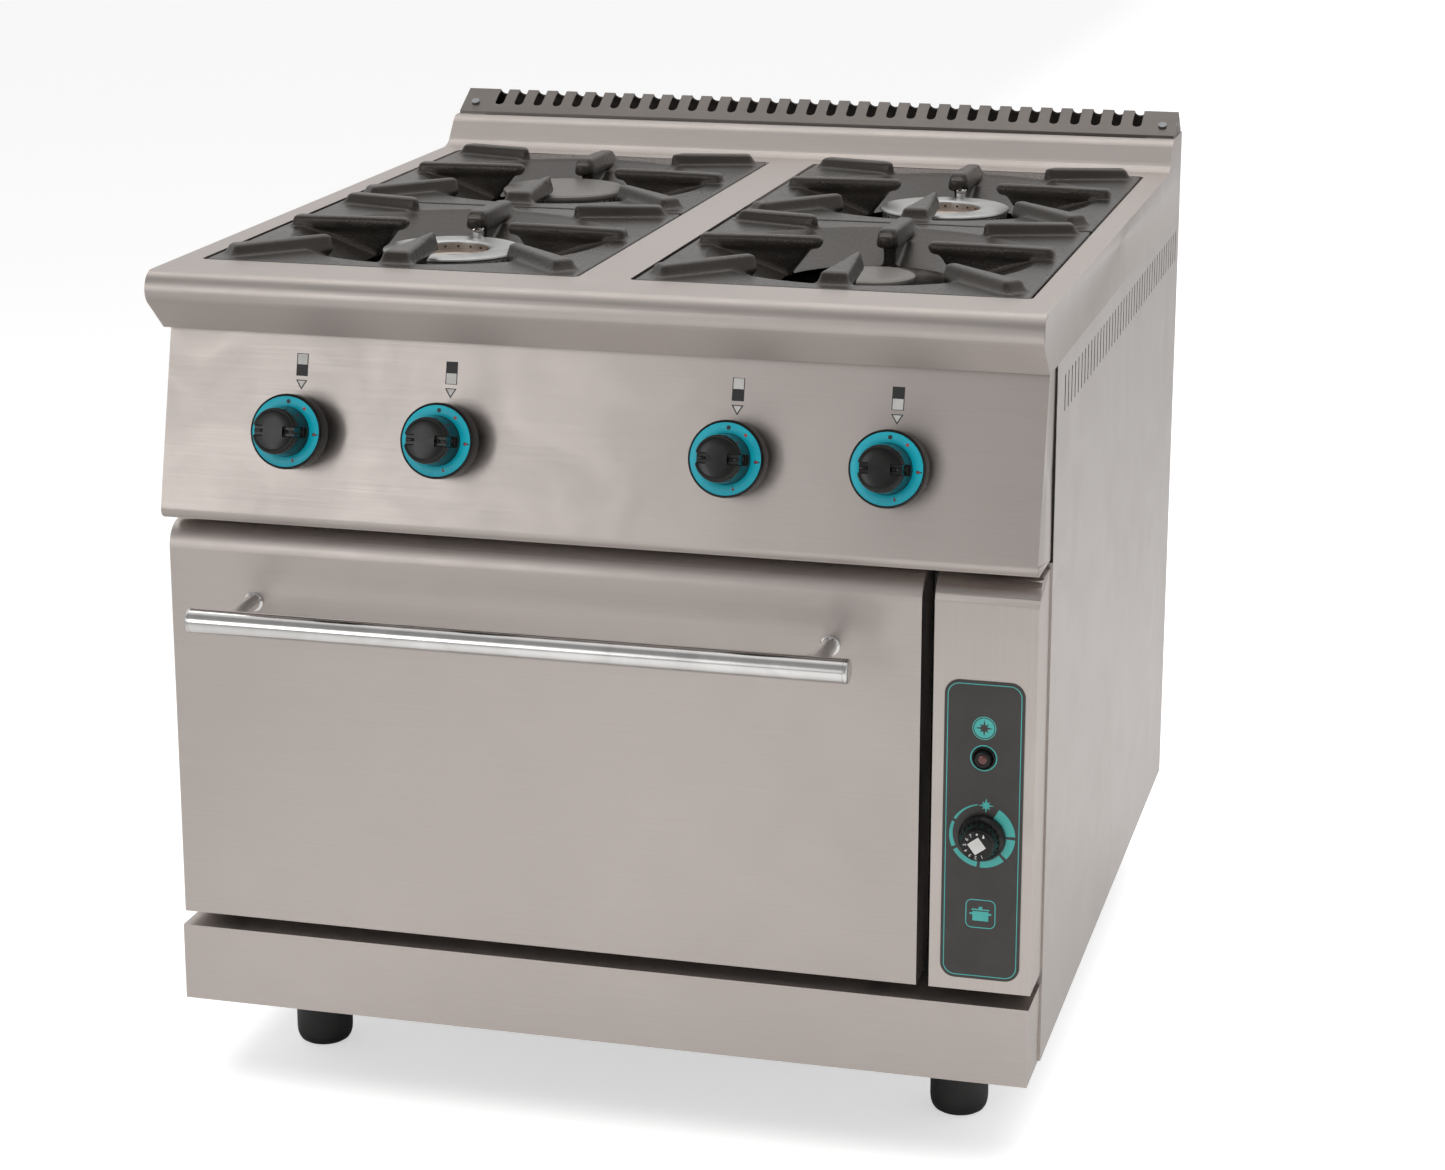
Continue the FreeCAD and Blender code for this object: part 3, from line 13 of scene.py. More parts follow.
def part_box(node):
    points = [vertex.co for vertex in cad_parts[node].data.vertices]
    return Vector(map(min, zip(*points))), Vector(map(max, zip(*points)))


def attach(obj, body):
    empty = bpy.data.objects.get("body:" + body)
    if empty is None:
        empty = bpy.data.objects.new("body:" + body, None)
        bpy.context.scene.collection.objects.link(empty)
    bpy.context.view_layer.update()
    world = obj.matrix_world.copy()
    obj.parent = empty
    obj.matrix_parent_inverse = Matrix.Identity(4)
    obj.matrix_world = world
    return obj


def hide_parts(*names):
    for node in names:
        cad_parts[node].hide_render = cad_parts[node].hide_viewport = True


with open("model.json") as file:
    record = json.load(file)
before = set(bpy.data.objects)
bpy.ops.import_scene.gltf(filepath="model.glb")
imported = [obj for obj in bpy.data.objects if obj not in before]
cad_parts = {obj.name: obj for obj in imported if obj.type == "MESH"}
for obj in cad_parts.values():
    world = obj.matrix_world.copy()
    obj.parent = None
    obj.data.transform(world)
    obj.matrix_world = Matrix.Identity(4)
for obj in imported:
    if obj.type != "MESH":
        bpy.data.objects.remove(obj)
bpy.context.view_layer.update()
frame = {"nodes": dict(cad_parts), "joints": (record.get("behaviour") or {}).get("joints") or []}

MM = 0.001
PRINT = 0.1  # thickness of the signs on the film and of the white of those on the panel, in millimetres
MARK = 0.14  # thickness of the marks on the knobs
CORNERS = ("front_left", "front_right", "rear_left", "rear_right")
KNOBS = (1, 2, 3, 4)


# ---------------------------------------------------------------- node trees

def put(tree, kind, inputs=None, **settings):
    """Adds a shader node. An input given another node's socket is linked, any other is typed in."""
    node = tree.nodes.new("ShaderNode" + kind)
    for name, value in settings.items():
        setattr(node, name, value)
    for name, value in (inputs or {}).items():
        if isinstance(value, bpy.types.NodeSocket):
            tree.links.new(value, node.inputs[name])
        else:
            node.inputs[name].default_value = value
    return node


def blend_colour(tree, mask, low, high):
    """One colour where the mask is 0, the other where it is 1, as sockets or as red, green and blue."""
    low, high = [(*colour, 1) if isinstance(colour, tuple) else colour for colour in (low, high)]
    node = put(tree, "Mix", {0: mask, 6: low, 7: high}, data_type="RGBA")
    return node.outputs[2]


def span(tree, mask, low, high, start=0.0, end=1.0):
    """A value that runs from low to high as the mask runs from start to end."""
    node = put(tree, "MapRange",
               {"Value": mask, "From Min": start, "From Max": end, "To Min": low, "To Max": high})
    return node.outputs["Result"]


def arithmetic(tree, operation, first, second):
    node = put(tree, "Math", {0: first, 1: second}, operation=operation)
    return node.outputs[0]


def total(tree, first, *others):
    """The sum of several values."""
    for other in others:
        first = arithmetic(tree, "ADD", first, other)
    return first


def component(tree, vector, axis):
    """X, Y or Z of a vector."""
    return put(tree, "SeparateXYZ", {"Vector": vector}).outputs[axis]


def new_group(name, inputs, outputs):
    """A shader node group, with the sockets inside that bring its inputs and take its outputs."""
    group = bpy.data.node_groups.new(name, "ShaderNodeTree")
    for label, kind, value in inputs:
        socket = group.interface.new_socket(name=label, in_out="INPUT", socket_type=kind)
        socket.default_value = value
    for label in outputs:
        group.interface.new_socket(name=label, in_out="OUTPUT", socket_type="NodeSocketFloat")
    return group, group.nodes.new("NodeGroupInput").outputs, group.nodes.new("NodeGroupOutput").inputs


FLOAT = "NodeSocketFloat"
VECTOR = "NodeSocketVector"


def make_polish_lines():
    """Fine parallel lines that a belt leaves on sheet metal."""
    group, given, out = new_group(
        "polish_lines",
        [("Place", VECTOR, (0, 0, 0)), ("Stretch", VECTOR, (1, 1, 1)), ("Detail", FLOAT, 3.0)],
        ["Lines"])
    stretched = put(group, "Mapping",
                    {"Vector": given["Place"], "Scale": given["Stretch"]})
    lines = put(group, "TexNoise",
                {"Vector": stretched.outputs[0], "Scale": 1.0, "Detail": given["Detail"],
                 "Roughness": 0.6})
    group.links.new(span(group, lines.outputs[0], 0, 1, 0.3, 0.7), out["Lines"])
    return group


def make_clouds():
    """Large soft patches, for uneven tone and handling marks."""
    group, given, out = new_group(
        "clouds", [("Place", VECTOR, (0, 0, 0)), ("Count", FLOAT, 6.0), ("Swirl", FLOAT, 0.4)],
        ["Clouds"])
    noise = put(group, "TexNoise",
                {"Vector": given["Place"], "Scale": given["Count"],
                 "Detail": 4.0, "Roughness": 0.55, "Distortion": given["Swirl"]})
    group.links.new(span(group, noise.outputs[0], 0, 1, 0.32, 0.68), out["Clouds"])
    return group


def make_edge_rub():
    """1 along worn edges and 0 on flats, broken up so that the wear isn't an even line."""
    group, given, out = new_group(
        "edge_rub", [("Place", VECTOR, (0, 0, 0)), ("Width", FLOAT, 0.001), ("Amount", FLOAT, 1.0)],
        ["Rub"])
    rounded = put(group, "Bevel", {"Radius": given["Width"]}, samples=4)
    shape = put(group, "NewGeometry")
    same = put(group, "VectorMath",
               {0: rounded.outputs[0], 1: shape.outputs["Normal"]}, operation="DOT_PRODUCT")
    edge = span(group, same.outputs["Value"], 1, 0, 0.72, 0.99)
    noise = put(group, "TexNoise",
                {"Vector": given["Place"], "Scale": 60.0, "Detail": 5.0})
    broken = span(group, noise.outputs[0], 0.25, 1.0, 0.4, 0.6)
    worn = arithmetic(group, "MULTIPLY", edge, broken)
    rub = arithmetic(group, "MULTIPLY", worn, given["Amount"])
    group.links.new(rub, out["Rub"])
    return group


def make_pitting():
    """The small pits and pimples of a casting or of fired enamel."""
    group, given, out = new_group(
        "pitting", [("Place", VECTOR, (0, 0, 0)), ("Fineness", FLOAT, 500.0)], ["Grain", "Pits"])
    fine = put(group, "TexNoise",
               {"Vector": given["Place"], "Scale": given["Fineness"],
                "Detail": 3.0, "Roughness": 0.65})
    wide = arithmetic(group, "MULTIPLY", given["Fineness"], 0.22)
    cells = put(group, "TexVoronoi", {"Vector": given["Place"], "Scale": wide})
    pits = span(group, cells.outputs["Distance"], 1, 0, 0.05, 0.35)
    group.links.new(fine.outputs[0], out["Grain"])
    group.links.new(pits, out["Pits"])
    return group


GROUPS = {
    "lines": make_polish_lines(),
    "clouds": make_clouds(),
    "rub": make_edge_rub(),
    "pits": make_pitting(),
}


def use(tree, group, place, **values):
    """Places a shared group in a material with its own values, and gives its outputs."""
    return put(tree, "Group", {"Place": place, **values}, node_tree=GROUPS[group]).outputs


# ---------------------------------------------------------------- finishes

FINISH = {}


def new_finish(name):
    """A material on the list of finishes, with its shader, and where on the piece each point is."""
    finish = bpy.data.materials.new(name)
    FINISH[name] = finish
    finish.use_nodes = True
    tree = finish.node_tree
    place = put(tree, "TexCoord").outputs["Object"]
    return tree, tree.nodes["Principled BSDF"], place


def dress(tree, shader, colour, roughness, height, strength, depth, fixed):
    """Feeds the shader its skin, roughness and bump, and types in what is even all over."""
    relief = put(tree, "Bump", {"Height": height, "Strength": strength, "Distance": depth})
    for socket, name in ((colour, "Base Color"), (roughness, "Roughness"), (relief.outputs[0], "Normal")):
        tree.links.new(socket, shader.inputs[name])
    for name, value in fixed.items():
        shader.inputs[name].default_value = value


def brighter(colour, gain, lift=0.0):
    """The colour of a rubbed edge."""
    return tuple(min(1, part * gain + lift) for part in colour)


def brushed_steel(name, stretch, dark, light, roughness, across="X", cut_edge=False):
    """Stainless sheet with belt lines one way, soft tone patches, and bright rubbed edges, and when asked,
    near-black painted shade on every face that doesn't face sideways, such as the walls of vent slots.

    Reflections spread at right angles to the lines, round the axis that the lines follow.
    """
    tree, shader, place = new_finish(name)
    lines = use(tree, "lines", place, Stretch=stretch)["Lines"]
    clouds = use(tree, "clouds", place, Count=3.0)["Clouds"]
    smears = use(tree, "clouds", place, Count=11.0, Swirl=1.4)["Clouds"]
    rub = use(tree, "rub", place, Width=0.0012, Amount=0.8)["Rub"]
    tone = total(tree, span(tree, lines, 0, 0.6), span(tree, clouds, 0, 0.4))
    skin = blend_colour(tree, tone, dark, light)
    # Painted shade: faces that don't face along X, above all the walls of the vent slots, turn near black as
    # if in shadow.
    if cut_edge:
        normal = put(tree, "NewGeometry").outputs["True Normal"]
        flat = arithmetic(tree, "ABSOLUTE", component(tree, normal, "X"), 0.0)
        skin = blend_colour(tree, span(tree, flat, 0, 1, 0.4, 0.6), SLOT_SHADE_COLOUR, skin)
    worn = blend_colour(tree, rub, skin, brighter(light, 1.2))
    facing_out = put(tree, "NewGeometry").outputs["Normal"]
    underside = span(tree, component(tree, facing_out, "Z"), 0.3, 0, -0.65, -0.2)
    matt = total(tree, span(tree, lines, -0.03, 0.03), span(tree, smears, -0.02, 0.03), underside, roughness)
    tangent = put(tree, "Tangent", direction_type="RADIAL", axis=across)
    tree.links.new(tangent.outputs[0], shader.inputs["Tangent"])
    dress(tree, shader, worn, matt, lines, 0.05, 0.00004, {"Metallic": 1.0, "Anisotropic": 0.75})


def zinc_sheet(name):
    """Galvanised sheet: overlapping grey spangles and a dull skin."""
    tree, shader, place = new_finish(name)
    spangle = put(tree, "TexVoronoi", {"Vector": place, "Scale": 75.0, "Randomness": 1.0})
    clouds = use(tree, "clouds", place, Count=5.0)["Clouds"]
    rub = use(tree, "rub", place, Width=0.001, Amount=0.6)["Rub"]
    grey = put(tree, "RGBToBW", {"Color": spangle.outputs["Color"]}).outputs[0]
    tone = total(tree, span(tree, grey, 0, 0.6), span(tree, clouds, 0, 0.4))
    skin = blend_colour(tree, tone, (0.30, 0.31, 0.32), (0.50, 0.51, 0.52))
    worn = blend_colour(tree, rub, skin, (0.68, 0.68, 0.67))
    dress(tree, shader, worn, span(tree, grey, 0.34, 0.52), grey, 0.1, 0.0001, {"Metallic": 0.9})


def bright_metal(name, dark, light, low, high, wear=0.0):
    """Plated or turned metal: nearly even, with a faint haze and a few handling marks."""
    tree, shader, place = new_finish(name)
    haze = use(tree, "clouds", place, Count=18.0, Swirl=1.2)["Clouds"]
    grain = use(tree, "pits", place, Fineness=1400.0)["Grain"]
    rub = use(tree, "rub", place, Width=0.0008, Amount=wear)["Rub"]
    skin = blend_colour(tree, haze, dark, light)
    worn = blend_colour(tree, rub, skin, brighter(light, 1.2))
    dress(tree, shader, worn, span(tree, haze, low, high), grain, 0.05, 0.00005, {"Metallic": 1.0})


def cast_enamel(name, dark, light, low, high, coat, fineness, depth, wear_colour, wear=0.5):
    """Matt or glossy enamel fired on a casting or a pressing, rubbed thin on its edges."""
    tree, shader, place = new_finish(name)
    pits = use(tree, "pits", place, Fineness=fineness)
    clouds = use(tree, "clouds", place, Count=9.0, Swirl=0.8)["Clouds"]
    rub = use(tree, "rub", place, Width=0.0016, Amount=wear)["Rub"]
    tone = total(tree, span(tree, pits["Grain"], 0, 0.5), span(tree, clouds, 0, 0.5))
    skin = blend_colour(tree, tone, dark, light)
    worn = blend_colour(tree, rub, skin, wear_colour)
    matt = total(tree, span(tree, clouds, low, high), span(tree, pits["Pits"], 0, 0.12))
    height = total(tree, pits["Grain"], span(tree, pits["Pits"], 0, 0.5))
    dress(tree, shader, worn, matt, height, depth, 0.0004,
          {"Coat Weight": coat, "Coat Roughness": 0.2, "Specular Tint": (1.0, 0.90, 0.83, 1)})


def moulding(name, dark, light, low, high, depth=0.1, coat=0.0, shine=0.5):
    """Moulded or printed plastic: a fine spark-eroded texture and a few dull patches."""
    tree, shader, place = new_finish(name)
    grain = use(tree, "pits", place, Fineness=1800.0)["Grain"]
    clouds = use(tree, "clouds", place, Count=25.0, Swirl=0.6)["Clouds"]
    rub = use(tree, "rub", place, Width=0.0006, Amount=0.35)["Rub"]
    skin = blend_colour(tree, clouds, dark, light)
    worn = blend_colour(tree, rub, skin, brighter(light, 1.6, 0.02))
    dress(tree, shader, worn, span(tree, clouds, low, high), grain, depth, 0.0001,
          {"Coat Weight": coat, "Specular IOR Level": shine})


def fibre(name, dark, light, fineness):
    """Mineral wool or glass braid."""
    tree, shader, place = new_finish(name)
    strands = use(tree, "lines", place, Stretch=(fineness, fineness * 0.2, fineness * 0.5))["Lines"]
    tufts = use(tree, "clouds", place, Count=40.0, Swirl=2.0)["Clouds"]
    tone = total(tree, span(tree, strands, 0, 0.5), span(tree, tufts, 0, 0.5))
    skin = blend_colour(tree, tone, dark, light)
    dress(tree, shader, skin, span(tree, tufts, 0.8, 1.0), tone, 0.8, 0.001, {})


ALONG_X = (9.0, 1300.0, 1300.0)
ALONG_Y = (1300.0, 9.0, 1300.0)
ALONG_Z = (1300.0, 1300.0, 9.0)
WARM_DARK = (0.465, 0.418, 0.392)
WARM_LIGHT = (0.52, 0.471, 0.444)
# The near-black colour of the painted shade in the vent slots of the side panels.
SLOT_SHADE_COLOUR = (0.045, 0.04, 0.038)

brushed_steel("steel_across", ALONG_X, WARM_DARK, WARM_LIGHT, 0.36)
brushed_steel("steel_deep", ALONG_Y, WARM_DARK, WARM_LIGHT, 0.38, "Y")
# The upper side panels, with painted shade in their vent slots.
brushed_steel("steel_slotted", ALONG_Y, WARM_DARK, WARM_LIGHT, 0.38, "Y", True)
brushed_steel("steel_upright", ALONG_Z, WARM_DARK, WARM_LIGHT, 0.36, "Z")
brushed_steel("steel_flue", ALONG_X, (0.165, 0.148, 0.137), (0.205, 0.184, 0.171), 0.38)
brushed_steel("steel_inner", ALONG_X, (0.30, 0.30, 0.30), (0.40, 0.40, 0.40), 0.42)
zinc_sheet("zinc")
bright_metal("chrome", (0.62, 0.61, 0.60), (0.75, 0.74, 0.73), 0.10, 0.18)
bright_metal("cast_aluminium", (0.42, 0.42, 0.41), (0.58, 0.58, 0.57), 0.34, 0.5, 0.5)
bright_metal("brass", (0.52, 0.37, 0.14), (0.70, 0.52, 0.22), 0.25, 0.4, 0.4)
bright_metal("cup_metal", (0.50, 0.42, 0.36), (0.68, 0.60, 0.54), 0.25, 0.4, 0.3)
bright_metal("gas_pipe", (0.22, 0.22, 0.23), (0.34, 0.34, 0.35), 0.35, 0.55, 0.4)
cast_enamel("grate_enamel", (0.009, 0.0077, 0.0067), (0.024, 0.0211, 0.0184), 0.24, 0.34, 0.05, 560.0,
            0.7, (0.04, 0.035, 0.031))
cast_enamel("cap_enamel", (0.080, 0.075, 0.069), (0.130, 0.123, 0.114), 0.40, 0.55, 0.1, 700.0,
            0.25, (0.24, 0.23, 0.21))
cast_enamel("oven_enamel", (0.010, 0.011, 0.013), (0.035, 0.037, 0.042), 0.18, 0.30, 0.5, 260.0,
            0.12, (0.10, 0.10, 0.11), 0.3)
moulding("knob_black", (0.005, 0.005, 0.005), (0.010, 0.010, 0.009), 0.12, 0.22, 0.03, 0.0, 0.28)
moulding("dial_teal", (0.0, 0.33, 0.43), (0.0, 0.40, 0.50), 0.32, 0.42, 0.05)
moulding("print_teal", (0.05, 0.38, 0.35), (0.07, 0.45, 0.42), 0.38, 0.48, 0.03)
# Black print on the knobs and signs, and also the painted shade of the burner slots and ports.
moulding("print_black", (0.012, 0.012, 0.012), (0.02, 0.02, 0.02), 0.4, 0.5, 0.03)
moulding("print_white", (0.62, 0.61, 0.59), (0.74, 0.73, 0.71), 0.38, 0.48, 0.03)
moulding("print_red", (0.32, 0.02, 0.02), (0.42, 0.03, 0.03), 0.38, 0.48, 0.03)
moulding("lens_red", (0.07, 0.012, 0.010), (0.11, 0.018, 0.015), 0.12, 0.2, 0.02, 0.5)
moulding("overlay_film", (0.030, 0.027, 0.025), (0.042, 0.038, 0.036), 0.42, 0.52, 0.06)
moulding("foot_plastic", (0.014, 0.014, 0.014), (0.028, 0.027, 0.026), 0.42, 0.58, 0.25)
fibre("wool", (0.50, 0.42, 0.20), (0.72, 0.64, 0.38), 600.0)
fibre("braid", (0.20, 0.20, 0.19), (0.42, 0.42, 0.40), 1500.0)


def paint(piece, finish):
    piece.data.materials.clear()
    piece.data.materials.append(FINISH[finish])


# ---------------------------------------------------------------- model nodes kept as they are

KEPT = {
    "zinc": ["base_frame", "back_panel", "flue_duct", "hinge_cheeks"],
    "steel_inner": ["door_inner", "hinge_arms"],
    "chrome": ["hinge_pins"],
    "gas_pipe": ["flue_screws"],
    "oven_enamel": ["oven_liner", "oven_sole"],
    "wool": ["door_insulation", "oven_insulation"],
    "braid": ["door_gasket"],
    "brass": ["tap_spindle_1", "tap_spindle_2", "tap_spindle_3", "tap_spindle_4", "oven_spindle"],
}


def keep_nodes():
    for finish, names in KEPT.items():
        for name in names:
            paint(frame["nodes"][name], finish)


# ---------------------------------------------------------------- modelling helpers

def deselect():
    bpy.ops.object.select_all(action="DESELECT")


def activate(piece):
    deselect()
    piece.select_set(True)
    bpy.context.view_layer.objects.active = piece


def start(name, add, **how):
    """Adds a primitive to shape further."""
    deselect()
    add(**how)
    piece = bpy.context.active_object
    piece.name = name
    return piece


def new_object(name, data):
    """Puts a mesh, a lamp or a camera in the scene."""
    holder = bpy.data.objects.new(name, data)
    bpy.context.scene.collection.objects.link(holder)
    return holder


def settle(piece):
    """Works a piece's place, turn and scale into its mesh."""
    activate(piece)
    bpy.ops.object.transform_apply(location=True, rotation=True, scale=True)


def middle(low, high, height=0.0):
    """The point half way between two corners seen from above, at a height."""
    return (low.x + high.x) / 2, (low.y + high.y) / 2, height


def smooth(piece, degrees=35):
    activate(piece)
    bpy.ops.object.shade_smooth_by_angle(angle=math.radians(degrees))


def apply_all(piece):
    """Applies every modifier in turn."""
    activate(piece)
    for name in [m.name for m in piece.modifiers]:
        bpy.ops.object.modifier_apply(modifier=name)


def finish_piece(piece, finish, body, slot, *nodes):
    """Settles a piece, paints it, hangs it on the empty of the body it rides on, and hides the model nodes
    that it stands for.
    """
    settle(piece)
    paint(piece, finish)
    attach(piece, body)
    if nodes:
        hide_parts(*nodes)
    return piece


def copy_of(node, name):
    """A copy of a model node's mesh, its loose triangles joined."""
    piece = new_object(name, frame["nodes"][node].data.copy())
    edit(piece)
    bpy.ops.mesh.remove_doubles(threshold=0.00001)
    leave_edit()
    return piece


def even_shading(piece, degrees=30):
    """Smooth over the bends, with the large flats kept flat."""
    smooth(piece, degrees)
    weights = piece.modifiers.new("weights", "WEIGHTED_NORMAL")
    weights.keep_sharp = True
    weights.weight = 100
    apply_all(piece)


def edit(piece, mode="VERT", select="SELECT"):
    activate(piece)
    bpy.ops.object.mode_set(mode="EDIT")
    bpy.ops.mesh.select_mode(type=mode)
    bpy.ops.mesh.select_all(action=select)


def leave_edit():
    bpy.ops.object.mode_set(mode="OBJECT")


def pick(piece, mode, parts, wanted):
    """Edit mode, with only the faces or corners selected that pass the test."""
    edit(piece, mode, "DESELECT")
    leave_edit()
    for part in getattr(piece.data, parts):
        part.select = bool(wanted(part))
    bpy.ops.object.mode_set(mode="EDIT")


def pick_faces(piece, wanted):
    pick(piece, "FACE", "polygons", lambda face: wanted(face.center, face.normal))


def pick_vertices(piece, wanted):
    pick(piece, "VERT", "vertices", lambda corner: wanted(corner.co))


def shift(piece, wanted, by):
    """Moves the corners that pass a test, in metres."""
    pick_vertices(piece, wanted)
    bpy.ops.transform.translate(value=by)
    leave_edit()


def stretch(piece, wanted, by):
    """Scales the corners that pass a test from the origin."""
    pick_vertices(piece, wanted)
    bpy.ops.transform.resize(value=by, center_override=(0, 0, 0))
    leave_edit()


def extrude_up(height):
    """Extrudes what is selected along Z, in millimetres."""
    bpy.ops.mesh.extrude_region_move(TRANSFORM_OT_translate={"value": (0, 0, height * MM)})


def outward(piece):
    edit(piece)
    bpy.ops.mesh.remove_doubles(threshold=0.000001)
    bpy.ops.mesh.normals_make_consistent(inside=False)
    leave_edit()


def lathe(name, profile, sides=64, ends="fill"):
    """A turned piece about Z, from radius and height pairs in millimetres."""
    radius, height = profile[0]
    piece = start(name, bpy.ops.mesh.primitive_circle_add, vertices=sides, radius=radius * MM)
    edit(piece)
    bpy.ops.transform.translate(value=(0, 0, height * MM))
    for next_radius, next_height in profile[1:]:
        extrude_up(next_height - height)
        if next_radius == 0:
            bpy.ops.mesh.merge(type="CENTER")
        elif next_radius != radius:
            scale = next_radius / radius
            bpy.ops.transform.resize(value=(scale, scale, 1), center_override=(0, 0, 0))
        radius, height = next_radius, next_height
    bpy.ops.mesh.select_all(action="DESELECT")
    bpy.ops.mesh.select_non_manifold()
    if ends == "bridge":
        bpy.ops.mesh.bridge_edge_loops()
    else:
        bpy.ops.mesh.edge_face_add()
    leave_edit()
    outward(piece)
    return piece


def block(name, low, high, rounding=0.0, segments=2):
    """A cuboid between two corners in millimetres, its edges rounded."""
    centre = [(a + b) / 2 * MM for a, b in zip(low, high)]
    piece = start(name, bpy.ops.mesh.primitive_cube_add, size=1, location=centre)
    piece.scale = [(b - a) * MM for a, b in zip(low, high)]
    settle(piece)
    if rounding:
        edit(piece, "EDGE")
        bpy.ops.mesh.bevel(offset=rounding * MM, segments=segments, affect="EDGES")
        leave_edit()
    return piece


def patch(name, sides, radius, thickness, stretch=(1, 1), turn=0.0):
    """A thin flat shape with a fine chamfer, its underside at height 0, sizes in millimetres."""
    piece = start(name, bpy.ops.mesh.primitive_circle_add, vertices=sides, radius=radius * MM,
                  fill_type="NGON")
    edit(piece, "FACE")
    if turn:
        bpy.ops.transform.rotate(value=turn, orient_axis="Z", center_override=(0, 0, 0))
    bpy.ops.transform.resize(value=(stretch[0], stretch[1], 1), center_override=(0, 0, 0))
    leave_edit()
    raise_patch(piece, thickness)
    return piece


def raise_patch(piece, thickness):
    """Gives a flat outline its thickness, closed underneath and chamfered on top."""
    edit(piece, "FACE")
    extrude_up(thickness)
    bpy.ops.mesh.inset(thickness=thickness * 0.3 * MM, depth=0)
    bpy.ops.mesh.select_mode(type="VERT")
    bpy.ops.mesh.select_all(action="DESELECT")
    bpy.ops.mesh.select_non_manifold()
    bpy.ops.mesh.edge_face_add()
    leave_edit()
    outward(piece)


def move(piece, x=0.0, y=0.0, z=0.0, turn=0.0):
    """Turns a piece about Z and shifts it, in millimetres, with its place kept in its mesh."""
    piece.rotation_euler = (0, 0, turn)
    piece.location = (x * MM, y * MM, z * MM)
    settle(piece)
    return piece


def tip(piece, angle, place):
    """Tips a piece about Y and sets it at a place, in millimetres."""
    piece.rotation_euler = (0, angle, 0)
    piece.location = [part * MM for part in place]
    settle(piece)
    return piece


def join(name, pieces):
    deselect()
    for piece in pieces:
        piece.select_set(True)
    bpy.context.view_layer.objects.active = pieces[0]
    bpy.ops.object.join()
    pieces[0].name = name
    return pieces[0]


def twin(piece, name):
    """A second one of a finished piece, with its own mesh."""
    other = piece.copy()
    other.data = piece.data.copy()
    other.name = name
    bpy.context.scene.collection.objects.link(other)
    return other


def round_the_axis(name, piece, count):
    """Copies a finished piece evenly round the Z axis and joins them all."""
    others = [move(twin(piece, "next"), turn=number * math.tau / count) for number in range(1, count)]
    return join(name, [piece] + others)


def cut_away(piece, tool):
    cut = piece.modifiers.new("cut", "BOOLEAN")
    cut.operation = "DIFFERENCE"
    cut.object = tool
    apply_all(piece)
    bpy.data.objects.remove(tool)


def soften(piece, width, degrees=35, segments=2):
    """Rounds every edge sharper than an angle."""
    edge = piece.modifiers.new("edge", "BEVEL")
    edge.width = width * MM
    edge.segments = segments
    edge.limit_method = "ANGLE"
    edge.angle_limit = math.radians(degrees)
    apply_all(piece)


# ---------------------------------------------------------------- sheet metal

def sheet_copy(node, finish, body="cabinet", slot="steel"):
    """A folded sheet taken over from the model, with its bends shaded as smooth rolls."""
    piece = copy_of(node, node + "_sheet")
    even_shading(piece)
    return finish_piece(piece, finish, body, slot, node)


def sheets():
    sheet_copy("worktop", "steel_across")
    sheet_copy("flue_cover", "steel_flue", slot="flue_steel")
    sheet_copy("control_panel", "steel_across")
    sheet_copy("plinth", "steel_across")
    for side in ("left", "right"):
        sheet_copy("side_panel_%s_lower" % side, "steel_deep")
        sheet_copy("side_panel_%s_upper" % side, "steel_slotted")
    sheet_copy("drip_trays", "steel_across", slot="inner_steel")
    sheet_copy("door_skin", "steel_across", "door")
    sheet_copy("control_column", "steel_upright")


def smooth_nodes():
    """Round stock taken over from the model with smooth shading."""
    for node, finish, body, slot in (
            ("gas_manifold", "gas_pipe", "cabinet", "gas_pipe"),
            ("gas_taps", "brass", "cabinet", "brass"),
            ("injector_pipes", "brass", "cabinet", "gas_pipe"),
            ("burner_bodies", "cast_aluminium", "cabinet", "aluminium"),
            ("oven_rack", "chrome", "rack", "chrome"),
            ("rack_runners", "chrome", "cabinet", "chrome"),
            ("oven_burner", "gas_pipe", "cabinet", "gas_pipe"),
            ("oven_valve", "brass", "cabinet", "brass")):
        piece = copy_of(node, node + "_smooth")
        smooth(piece)
        finish_piece(piece, finish, body, slot, node)


# ---------------------------------------------------------------- door handle

BRACKET_INSET = 7  # from the end of a post to the middle of its bracket


